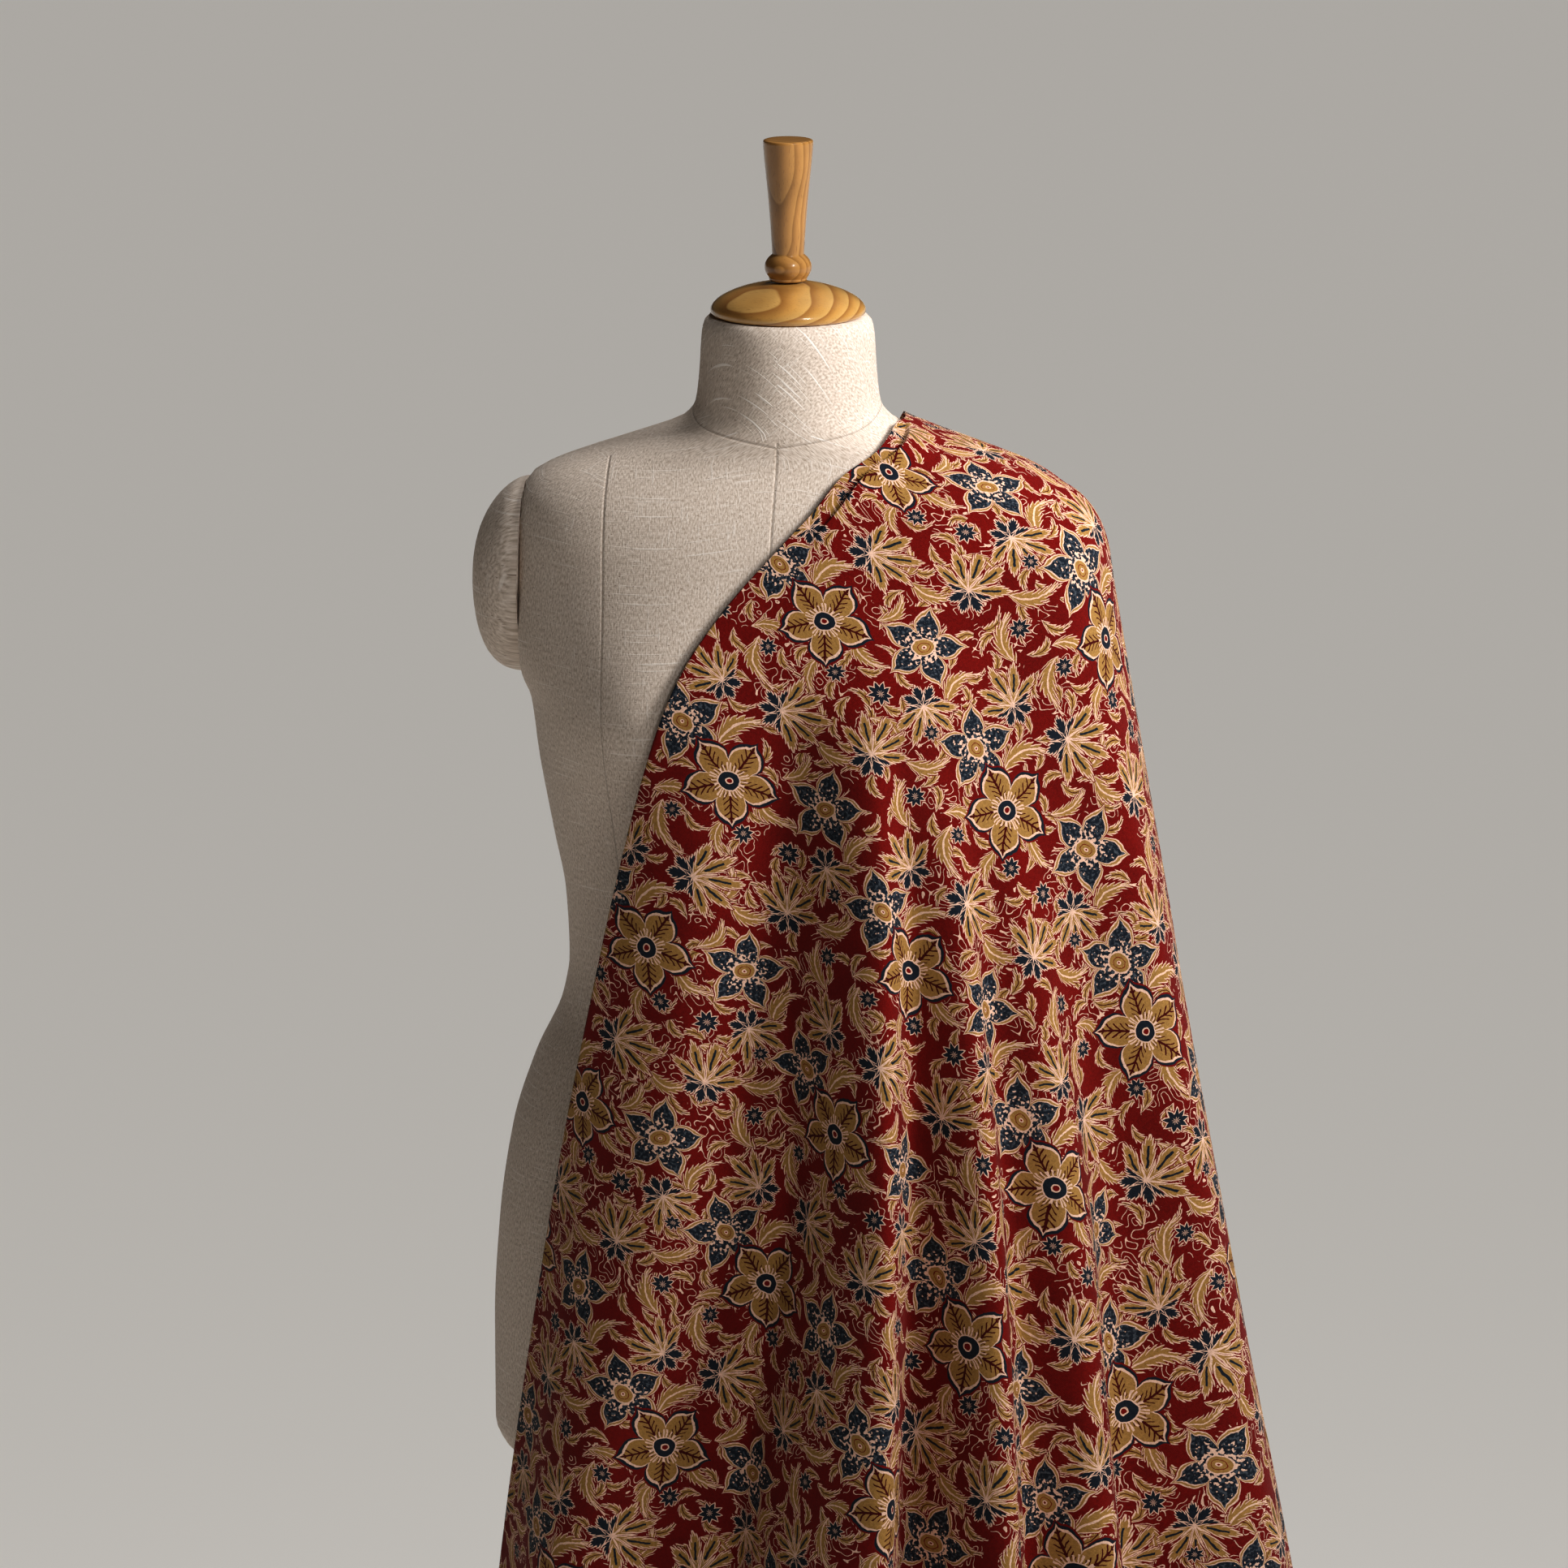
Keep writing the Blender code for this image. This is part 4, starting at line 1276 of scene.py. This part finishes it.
def print_bands(tree, below, edge_mm, bands, where=None):
    """Print inks by distance from an outline, in mm, inside below zero; the last is clear."""
    share = add_node(
        tree, "MapRange", {0: edge_mm, 1: BANDS_FROM_MM, 2: BANDS_TO_MM, 3: 0.0, 4: 1.0}
    )
    span = BANDS_TO_MM - BANDS_FROM_MM
    stops = [((start - BANDS_FROM_MM) / span, ink) for start, ink in bands]
    ink = add_node(tree, "ValToRGB", {0: share}, stops=stops)
    ink.node.color_ramp.interpolation = "CONSTANT"
    mask = ink.node.outputs[1]
    if where is not None:
        mask = add_node(tree, "Math", {0: where, 1: mask}, operation="MULTIPLY")
    return lay_over(tree, below, ink, mask)


def print_star(tree, below, motifs, size_mm, count, outline, bands):
    """Print a flower; also its local place, radius, share of the way to a gap, and edge."""
    local = nearest_motif(tree, lattice, motifs)
    radius = add_node(tree, "VectorMath", {0: local}, out=1, operation="LENGTH")
    parts = add_node(tree, "SeparateXYZ", {0: local}).node
    turn = add_node(
        tree, "Math", {0: parts.outputs[1], 1: parts.outputs[0]}, operation="ARCTAN2"
    )
    folded = add_node(tree, "Math", {0: turn, 1: count / (2 * math.pi)}, operation="MULTIPLY")
    half = add_node(tree, "Math", {0: folded, 1: 0.5}, operation="PINGPONG")
    share = add_node(tree, "Math", {0: half, 1: 2.0}, operation="MULTIPLY")
    edge = add_node(tree, "FloatCurve", {1: share}, points=outline)
    outside = add_node(tree, "Math", {0: radius, 1: edge}, operation="SUBTRACT")
    edge_mm = add_node(tree, "Math", {0: outside, 1: size_mm}, operation="MULTIPLY")
    return print_bands(tree, below, edge_mm, bands), local, radius, share, edge_mm


print("print tools are ready")

# %% [markdown]
# ### Ground, scrolls and small leaves
# Between the flowers the block is crowded with small leaves and scrolls, so the
# red ground shows only in scraps. The scrolls are the level lines of a noise field,
# which curl and never cross, kept to some of the cells. The small leaves sit in
# the cells of a Voronoi pattern, each turned its own way by its cell's random
# colour. A leaf is a bowed spindle: its half width is a parabola along its rib,
# fuller near its stalk, with slanted saw teeth on it.

# %% Scrolls and small leaves
red_tone = add_node(tree, "MapRange", {0: fade, 1: 0.35, 2: 0.65, 3: 0.25, 4: 0.0})
ground = lay_over(tree, MADDER, DEEP_MADDER, red_tone)
CELL_MM = 17.5
SCROLL_LEVELS = 4.0
SCROLL_HALF_WIDTH = 0.065
SCROLL_CELLS_ABOVE = 0.55
voronoi = add_node(
    tree, "TexVoronoi", {0: drawn, 2: 1 / CELL_MM, "Randomness": 0.8}, voronoi_dimensions="2D"
).node
scroll_noise = add_node(tree, "TexNoise", {0: drawn, 2: 0.12, 3: 0.0}, noise_dimensions="2D")
level = add_node(tree, "Math", {0: scroll_noise, 1: SCROLL_LEVELS}, operation="MULTIPLY")
scroll = add_node(tree, "Math", {0: level, 1: 0.5}, operation="PINGPONG")
thin = add_node(tree, "Math", {0: scroll, 1: SCROLL_HALF_WIDTH}, operation="LESS_THAN")
in_cell = add_node(
    tree, "Math", {0: voronoi.outputs["Color"], 1: SCROLL_CELLS_ABOVE}, operation="GREATER_THAN"
)
pale_scroll = add_node(tree, "Math", {0: thin, 1: in_cell}, operation="MULTIPLY")
inked = lay_over(tree, ground, PALE, pale_scroll)

LEAF_BANDS = (
    (-10.0, TAN),
    (-1.0, PALE),
    (0.0, MADDER),
    (0.9, NO_INK),
)
LEAF_LEAN = 0.45
TOOTH_DEPTH = 0.8
RIB_INSET_MM = 0.8
SMALL_LEAF = {
    "size_mm": 9.0, "width": 0.23, "bend": 0.55, "teeth": 2.3, "rib_mm": 0.3, "rib_ink": DEEP_MADDER,
}
LARGE_LEAF = {
    "size_mm": 16.0, "width": 0.24, "bend": 0.40, "teeth": 3.2, "rib_mm": 0.6, "rib_ink": PALE,
}


def print_leaf(tree, below, local, size_mm, width, bend, teeth, rib_mm, rib_ink):
    """Print a bent, toothed leaf and its rib."""
    parts = add_node(tree, "SeparateXYZ", {0: local}).node
    x, y = parts.outputs[0], parts.outputs[1]
    squared = add_node(tree, "Math", {0: x, 1: x}, operation="MULTIPLY")
    bowed = add_node(tree, "Math", {0: squared, 1: -bend, 2: y}, operation="MULTIPLY_ADD")
    aside = add_node(tree, "Math", {0: bowed}, operation="ABSOLUTE")
    round_part = add_node(tree, "Math", {0: squared, 1: -width, 2: width}, operation="MULTIPLY_ADD")
    lean = add_node(tree, "Math", {0: x, 1: -LEAF_LEAN, 2: 1.0}, operation="MULTIPLY_ADD")
    half_width = add_node(tree, "Math", {0: round_part, 1: lean}, operation="MULTIPLY")
    slanted = add_node(tree, "Math", {0: aside, 1: -1.0, 2: x}, operation="MULTIPLY_ADD")
    teeth_at = add_node(tree, "Math", {0: slanted, 1: teeth}, operation="MULTIPLY")
    tooth = add_node(tree, "Math", {0: teeth_at}, operation="FRACT")
    toothed = add_node(
        tree, "Math", {0: tooth, 1: TOOTH_DEPTH * width, 2: half_width}, operation="MULTIPLY_ADD"
    )
    outside = add_node(tree, "Math", {0: aside, 1: toothed}, operation="SUBTRACT")
    edge_mm = add_node(tree, "Math", {0: outside, 1: size_mm}, operation="MULTIPLY")
    printed = print_bands(tree, below, edge_mm, LEAF_BANDS)
    aside_mm = add_node(tree, "Math", {0: aside, 1: size_mm}, operation="MULTIPLY")
    rib = add_node(tree, "Math", {0: aside_mm, 1: rib_mm}, operation="LESS_THAN")
    inside = add_node(tree, "Math", {0: edge_mm, 1: -RIB_INSET_MM}, operation="LESS_THAN")
    rib_mask = add_node(tree, "Math", {0: rib, 1: inside}, operation="MULTIPLY")
    return lay_over(tree, printed, rib_ink, rib_mask)


cell_place = add_node(
    tree, "VectorMath", {0: drawn, 1: voronoi.outputs["Position"]}, operation="SUBTRACT"
)
cell_turn = add_node(tree, "Math", {0: voronoi.outputs["Color"], 1: 25.0}, operation="MULTIPLY")
turned = add_node(tree, "VectorRotate", {0: cell_place, 3: cell_turn}, rotation_type="Z_AXIS")
leaf_local = add_node(
    tree, "VectorMath", {0: turned, 1: (1 / SMALL_LEAF["size_mm"],) * 3}, operation="MULTIPLY"
)
inked = print_leaf(tree, inked, leaf_local, **SMALL_LEAF)
print("nodes with scrolls and small leaves:", len(tree.nodes))

# %% [markdown]
# ### Large leaves
# Long toothed leaves with a pale rib curl round the flowers. The table gives each
# one's middle on the block, its turn, its radius, which way it bends, and how much
# slimmer than long it is when it competes with its neighbours for a place.

# %% Large leaves
LARGE_LEAVES = (
    ("across", "along", "turn", "radius", "bend", "slim"),
    (30, -8, -20, 14, 1, 1.7),
    (-14, 35, 60, 17, -1, 1.7),
    (36, 30, 75, 12, 1, 1.7),
    (-26, -22, 15, 12, -1, 1.7),
    (8, -38, -70, 12, 1, 1.7),
    (88, 8, 80, 14, -1, 1.7),
    (48, 52, 10, 14, 1, 1.7),
    (100, 50, 130, 15, -1, 1.7),
    (104, -48, 40, 14, 1, 1.7),
    (140, 44, -50, 15, 1, 1.7),
    (70, -40, -15, 13, -1, 1.7),
    (30, 66, 95, 13, 1, 1.7),
)
large = nearest_motif(tree, lattice, LARGE_LEAVES)
inked = print_leaf(tree, inked, large, **LARGE_LEAF)
print("nodes with large leaves:", len(tree.nodes))

# %% [markdown]
# ### Palmettes
# A palmette is a fan of five pointed leaves with an indigo cup below it. The fan is
# one leaf, repeated by folding the angle every 34 degrees; behind the cup's line
# the same leaf is short and blue. A curve gives the leaf's half width from its
# stalk to its tip, with notches on it, and each leaf of the fan has a blue rib.

# %% Palmettes
PALMETTES = (
    ("across", "along", "turn", "radius"),
    (6, 60, 20, 35),
    (68, 67, 98, 33),
    (78, -16, -36, 31),
    (130, 20, 160, 30),
)
FAN_STEP = math.radians(34.0)
FAN_REACH = math.radians(86.0)
CUP_STEP = math.radians(47.5)
CUP_LENGTH = 0.46
CUP_WIDTH = 0.9
SIDE_SHORTENING = 0.16
NOTCHES = 5.0
NOTCH_DEPTH = 0.05
PALMETTE_MM = 32.0
FAN_RIB_HALF_WIDTH = 0.021
FAN_RIB_FROM = 0.30
FAN_RIB_TO = 0.72
palmette = nearest_motif(tree, lattice, PALMETTES)
parts = add_node(tree, "SeparateXYZ", {0: palmette}).node
fan_turn = add_node(tree, "Math", {0: parts.outputs[1], 1: parts.outputs[0]}, operation="ARCTAN2")
fan_radius = add_node(tree, "VectorMath", {0: palmette}, out=1, operation="LENGTH")
behind = add_node(tree, "Math", {0: fan_turn}, operation="ABSOLUTE")
cup = add_node(tree, "Math", {0: behind, 1: FAN_REACH}, operation="GREATER_THAN")
from_back = add_node(tree, "Math", {0: math.pi, 1: behind}, operation="SUBTRACT")
fan_part = add_node(
    tree, "Math", {0: behind, 1: FAN_STEP / 2, 2: -FAN_STEP / 2}, operation="WRAP"
)
cup_part = add_node(
    tree, "Math", {0: from_back, 1: CUP_STEP / 2, 2: -CUP_STEP / 2}, operation="WRAP"
)
leaf_turn = add_node(tree, "Mix", {0: cup, 2: fan_part, 3: cup_part}, data_type="FLOAT")
side_length = add_node(
    tree, "Math", {0: behind, 1: -SIDE_SHORTENING, 2: 1.0}, operation="MULTIPLY_ADD"
)
length = add_node(tree, "Mix", {0: cup, 2: side_length, 3: CUP_LENGTH}, data_type="FLOAT")
leaf_cos = add_node(tree, "Math", {0: leaf_turn}, operation="COSINE")
leaf_sin = add_node(tree, "Math", {0: leaf_turn}, operation="SINE")
outwards = add_node(tree, "Math", {0: fan_radius, 1: leaf_cos}, operation="MULTIPLY")
sideways = add_node(tree, "Math", {0: fan_radius, 1: leaf_sin}, operation="MULTIPLY")
along_leaf = add_node(tree, "Math", {0: outwards, 1: length}, operation="DIVIDE")
leaf_aside = add_node(tree, "Math", {0: sideways}, operation="ABSOLUTE")
blade = add_node(tree, "FloatCurve", {1: along_leaf}, points=(
    (0.0, 0.01), (0.2, 0.03), (0.4, 0.075), (0.6, 0.10), (0.8, 0.06), (1.0, -0.03),
))
slanted = add_node(tree, "Math", {0: leaf_aside, 1: -2.0, 2: along_leaf}, operation="MULTIPLY_ADD")
notches_at = add_node(tree, "Math", {0: slanted, 1: NOTCHES}, operation="MULTIPLY")
notch = add_node(tree, "Math", {0: notches_at}, operation="FRACT")
cup_width = add_node(tree, "Mix", {0: cup, 2: 1.0, 3: CUP_WIDTH}, data_type="FLOAT")
sized = add_node(tree, "Math", {0: blade, 1: cup_width}, operation="MULTIPLY")
notched = add_node(tree, "Math", {0: notch, 1: NOTCH_DEPTH, 2: sized}, operation="MULTIPLY_ADD")
blade_out = add_node(tree, "Math", {0: leaf_aside, 1: notched}, operation="SUBTRACT")
tip_out = add_node(tree, "Math", {0: along_leaf, 1: 1.0}, operation="SUBTRACT")
fan_out = add_node(tree, "Math", {0: blade_out, 1: tip_out}, operation="MAXIMUM")
fan_edge = add_node(tree, "Math", {0: fan_out, 1: PALMETTE_MM}, operation="MULTIPLY")
inked = print_bands(tree, inked, fan_edge, LEAF_BANDS)
inked = print_bands(tree, inked, fan_edge, (
    (-10.0, INDIGO),
    (-0.9, PALE),
    (0.1, MADDER),
    (0.9, NO_INK),
), where=cup)
rib_from = add_node(tree, "Math", {0: along_leaf, 1: FAN_RIB_FROM}, operation="GREATER_THAN")
rib_to = add_node(tree, "Math", {0: along_leaf, 1: FAN_RIB_TO}, operation="LESS_THAN")
rib_span = add_node(tree, "Math", {0: rib_from, 1: rib_to}, operation="MULTIPLY")
in_fan = add_node(tree, "Math", {0: 1.0, 1: cup}, operation="SUBTRACT")
rib_span = add_node(tree, "Math", {0: rib_span, 1: in_fan}, operation="MULTIPLY")
rib = add_node(tree, "Math", {0: leaf_aside, 1: FAN_RIB_HALF_WIDTH}, operation="LESS_THAN")
rib_mask = add_node(tree, "Math", {0: rib, 1: rib_span}, operation="MULTIPLY")
inked = lay_over(tree, inked, INDIGO, rib_mask)
print("nodes with palmettes:", len(tree.nodes))

# %% [markdown]
# ### Rosettes
# Small indigo rosettes, two large indigo flowers and one tan flower are all stars:
# a curve gives the radius for each share of the way from a petal's tip to the gap
# beside it. The rosettes have nine petals and a pale ring.

# %% Rosettes
ROSETTES = (
    ("across", "along", "turn", "radius"),
    (22, -28, 0, 7.5),
    (52, -25, 20, 8.5),
    (106, 62, 10, 7.5),
    (92, -28, 0, 6.0),
    (143, 58, 0, 7.0),
)
ROSETTE_MM = 7.5
ROSETTE_PETALS = 9
ROSETTE_OUTLINE = ((0.0, 1.0), (0.4, 0.82), (1.0, 0.60))
ROSETTE_BANDS = (
    (-10.0, MADDER),
    (-6.4, PALE),
    (-5.2, INDIGO),
    (-0.9, PALE),
    (0.0, MADDER),
    (0.7, NO_INK),
)
inked = print_star(
    tree, inked, ROSETTES, ROSETTE_MM, ROSETTE_PETALS, ROSETTE_OUTLINE, ROSETTE_BANDS
)[0]
print("nodes with rosettes:", len(tree.nodes))

# %% [markdown]
# ### Indigo flowers
# Two large flowers have five ragged petals. Pale blots crowd towards the bud, where
# a resist was dabbed on, and the blue is worn to slate in patches. The bud is an
# oval in rings of madder and tan.

# %% Indigo flowers
INDIGO_FLOWERS = (
    ("across", "along", "turn", "radius"),
    (60, 18, 35, 28),
    (124, -17, -10, 28),
)
FLOWER_PETALS = 5
INDIGO_FLOWER_MM = 28.0
INDIGO_OUTLINE = ((0.0, 1.06), (0.1, 0.94), (0.35, 0.84), (0.6, 0.74), (0.85, 0.60), (1.0, 0.46))
INDIGO_BANDS = (
    (-10.0, INDIGO),
    (-3.4, PALE),
    (-2.5, TAN),
    (-1.0, PALE),
    (0.0, MADDER),
    (0.9, NO_INK),
)
INDIGO_BORDER_MM = 3.0
BUD_MM = 7.5
inked, flower, radius, share, flower_edge = print_star(
    tree, inked, INDIGO_FLOWERS, INDIGO_FLOWER_MM, FLOWER_PETALS, INDIGO_OUTLINE, INDIGO_BANDS
)
inner = add_node(tree, "Math", {0: flower_edge, 1: -INDIGO_BORDER_MM}, operation="LESS_THAN")
near_bud = add_node(tree, "MapRange", {0: radius, 1: 0.66, 2: 0.28, 3: 0.26, 4: 0.48})
blot = add_node(tree, "TexNoise", {0: drawn, 2: 0.42, 3: 1.0}, noise_dimensions="2D")
blotched = add_node(tree, "Math", {0: blot, 1: near_bud}, operation="LESS_THAN")
pale_blot = add_node(tree, "Math", {0: blotched, 1: inner}, operation="MULTIPLY")
worn_indigo = add_node(tree, "MapRange", {0: dye, 1: 0.5, 2: 0.66, 3: 0.0, 4: 0.8})
worn = add_node(tree, "Math", {0: worn_indigo, 1: inner}, operation="MULTIPLY")
inked = lay_over(tree, inked, SLATE, worn)
inked = lay_over(tree, inked, PALE, pale_blot)
bud_place = add_node(tree, "VectorMath", {0: flower, 1: (1.0, 1.3, 0)}, operation="MULTIPLY")
bud_radius = add_node(tree, "VectorMath", {0: bud_place}, out=1, operation="LENGTH")
bud_mm = add_node(
    tree, "Math", {0: bud_radius, 1: INDIGO_FLOWER_MM, 2: -BUD_MM}, operation="MULTIPLY_ADD"
)
inked = print_bands(tree, inked, bud_mm, (
    (-10.0, MADDER),
    (-6.8, PALE),
    (-6.0, TAN),
    (-3.9, MADDER),
    (-3.4, TAN),
    (-1.0, PALE),
    (0.0, NO_INK),
))
print("nodes with indigo flowers:", len(tree.nodes))

# %% [markdown]
# ### Tan flower
# One tan flower has an indigo border. Each petal has a dark vein with slanted
# branches, and pale rays stand around an indigo disc with a dark middle.

# %% Tan flower
TAN_FLOWER = (("across", "along", "turn", "radius"), (0, 0, 10, 33))
TAN_FLOWER_MM = 33.0
TAN_OUTLINE = ((0.0, 1.0), (0.1, 0.91), (0.35, 0.85), (0.6, 0.78), (0.85, 0.66), (1.0, 0.52))
TAN_BANDS = (
    (-10.0, TAN),
    (-4.2, PALE),
    (-2.4, INDIGO),
    (-0.3, MADDER),
    (0.9, NO_INK),
)
TAN_BORDER_MM = 4.0
VEIN_HALF_WIDTH = 0.034
BRANCHES = 7.0
BRANCH_SHARE = 0.30
BRANCH_REACH = 0.22
RAYS = 2.5
RAY_SHARE = 0.36
DISC_MM = 7.4
inked, flower, radius, share, flower_edge = print_star(
    tree, inked, TAN_FLOWER, TAN_FLOWER_MM, FLOWER_PETALS, TAN_OUTLINE, TAN_BANDS
)
inner = add_node(tree, "Math", {0: flower_edge, 1: -TAN_BORDER_MM}, operation="LESS_THAN")
aside = add_node(tree, "Math", {0: radius, 1: share}, operation="MULTIPLY")
mid_vein = add_node(tree, "Math", {0: aside, 1: VEIN_HALF_WIDTH}, operation="LESS_THAN")
branch_at = add_node(tree, "Math", {0: share, 1: -0.45, 2: radius}, operation="MULTIPLY_ADD")
branch_turns = add_node(tree, "Math", {0: branch_at, 1: BRANCHES}, operation="MULTIPLY")
branch = add_node(tree, "Math", {0: branch_turns}, operation="FRACT")
branch_line = add_node(tree, "Math", {0: branch, 1: BRANCH_SHARE}, operation="LESS_THAN")
branch_near = add_node(tree, "Math", {0: aside, 1: BRANCH_REACH}, operation="LESS_THAN")
branches = add_node(tree, "Math", {0: branch_line, 1: branch_near}, operation="MULTIPLY")
veins = add_node(tree, "Math", {0: mid_vein, 1: branches}, operation="MAXIMUM")
veins = add_node(tree, "Math", {0: veins, 1: inner}, operation="MULTIPLY")
inked = lay_over(tree, inked, DEEP_MADDER, veins)
ray_turn = add_node(tree, "Math", {0: share, 1: RAYS}, operation="MULTIPLY")
ray = add_node(tree, "Math", {0: ray_turn}, operation="FRACT")
ray_line = add_node(tree, "Math", {0: ray, 1: RAY_SHARE}, operation="LESS_THAN")
ray_reach = add_node(tree, "Math", {0: share, 1: 0.10, 2: 0.30}, operation="MULTIPLY_ADD")
ray_near = add_node(tree, "Math", {0: radius, 1: ray_reach}, operation="LESS_THAN")
rays = add_node(tree, "Math", {0: ray_line, 1: ray_near}, operation="MULTIPLY")
inked = lay_over(tree, inked, PALE, rays)
disc_mm = add_node(
    tree, "Math", {0: radius, 1: TAN_FLOWER_MM, 2: -DISC_MM}, operation="MULTIPLY_ADD"
)
inked = print_bands(tree, inked, disc_mm, (
    (-10.0, MADDER),
    (-5.6, PALE),
    (-4.8, INDIGO),
    (-0.8, PALE),
    (0.0, NO_INK),
))
print("nodes with the tan flower:", len(tree.nodes))

# %% [markdown]
# ### Dye and cloth
# Natural dye never lies flat: each ink is mottled by the thread and has faded in
# patches. The cotton itself is a plain weave, finer than a pixel, so it is drawn at
# 0.9 mm, and its threads catch a faint sheen of loose fibre.

# %% Dye, weave and finish
COTTON_THREAD_MM = 0.9
mottle = add_node(tree, "MapRange", {0: dye, 1: 0.3, 2: 0.7, 3: 0.74, 4: 0.96})
grainy = add_node(tree, "MapRange", {0: speck, 1: 0.25, 2: 0.75, 3: 0.82, 4: 1.16})
tones = add_node(tree, "Math", {0: mottle, 1: grainy}, operation="MULTIPLY")
dyed = add_node(tree, "VectorMath", {0: inked, 1: tones}, operation="MULTIPLY")
tree.links.new(dyed, shader.inputs["Base Color"])
shader.inputs["Sheen Weight"].default_value = 0.03
shader.inputs["Specular IOR Level"].default_value = 0.25
shader.inputs["Sheen Roughness"].default_value = 0.5
thread_scale = 2 * math.pi / COTTON_THREAD_MM / 20
cotton_warp = add_node(
    tree, "TexWave", {0: page_mm, 1: thread_scale, 2: 1.0, 3: 1.0}, out=1, bands_direction="X"
)
cotton_weft = add_node(
    tree, "TexWave", {0: page_mm, 1: thread_scale, 2: 1.0, 3: 1.0}, out=1, bands_direction="Y"
)
cotton_weave = add_node(tree, "Math", {0: cotton_warp, 1: cotton_weft}, operation="MAXIMUM")
weave_mm = add_node(tree, "Math", {0: cotton_weave, 1: 0.05}, operation="MULTIPLY")
crumple_mm = add_node(tree, "Math", {0: dye, 1: 0.12, 2: weave_mm}, operation="MULTIPLY_ADD")
relief = add_node(tree, "Bump", {0: 1.0, 1: 0.001, "Height": crumple_mm})
tree.links.new(relief, shader.inputs["Normal"])
cloth.data.materials.append(cotton)
print("cotton nodes:", len(tree.nodes))

# %% [markdown]
# ## Floor
# The form stands on a plain pale sheet of matt paper that runs far behind it.

# %% Floor
FLOOR_HALF_WIDTH = 40.0
floor_data = bmesh.new()
bmesh.ops.create_grid(floor_data, x_segments=1, y_segments=1, size=FLOOR_HALF_WIDTH)
floor_mesh = bpy.data.meshes.new("floor")
floor_data.to_mesh(floor_mesh)
floor_data.free()
floor = bpy.data.objects.new("floor", floor_mesh)
bpy.context.scene.collection.objects.link(floor)
paper, tree, shader = new_material("matt_paper", 0.9)
shader.inputs["Base Color"].default_value = from_hex("#f4f0ea")
floor_mesh.materials.append(paper)
print("floor is", 2 * FLOOR_HALF_WIDTH, "m wide")

# %% [markdown]
# ## Light
# A lamp close by on the form's left gives most of the light, so the folds turn dark
# on their other sides. A soft sun in front fills them and is the only one that
# shows in the varnish, a sun from behind lights the shoulders and the floor, and a
# weak even sky lifts the shadows.

# %% Light
SKY_STRENGTH = 0.03
LAMPS = (
    ("name", "kind", "turn", "rise", "distance", "softness", "strength", "glossy"),
    ("sun", "SUN", 38, 34, 4.0, 0.2, 0.56, True),
    ("key", "AREA", 70, 40, 1.4, 0.3, 20.0, False),
    ("back", "SUN", 165, 48, 4.0, 0.45, 1.3, False),
)
header, *rows = LAMPS
for row in rows:
    lamp = dict(zip(header, row))
    light = bpy.data.lights.new(lamp["name"], lamp["kind"])
    light.energy = lamp["strength"]
    if lamp["kind"] == "SUN":
        light.angle = lamp["softness"]
    else:
        light.size = lamp["softness"]
    turn, lamp_rise = math.radians(lamp["turn"]), math.radians(lamp["rise"])
    towards = Vector((
        math.sin(turn) * math.cos(lamp_rise),
        -math.cos(turn) * math.cos(lamp_rise),
        math.sin(lamp_rise),
    ))
    stand = bpy.data.objects.new(lamp["name"], light)
    stand.visible_glossy = lamp["glossy"]
    stand.location = aim + towards * lamp["distance"]
    stand.rotation_euler = (-towards).to_track_quat("-Z", "Y").to_euler()
    bpy.context.scene.collection.objects.link(stand)
sky = bpy.data.worlds.new("sky")
sky.use_nodes = True
background = sky.node_tree.nodes["Background"]
background.inputs["Color"].default_value = from_hex("#f0e6da")
background.inputs["Strength"].default_value = SKY_STRENGTH
bpy.context.scene.world = sky
print("lamps:", [row[0] for row in rows])
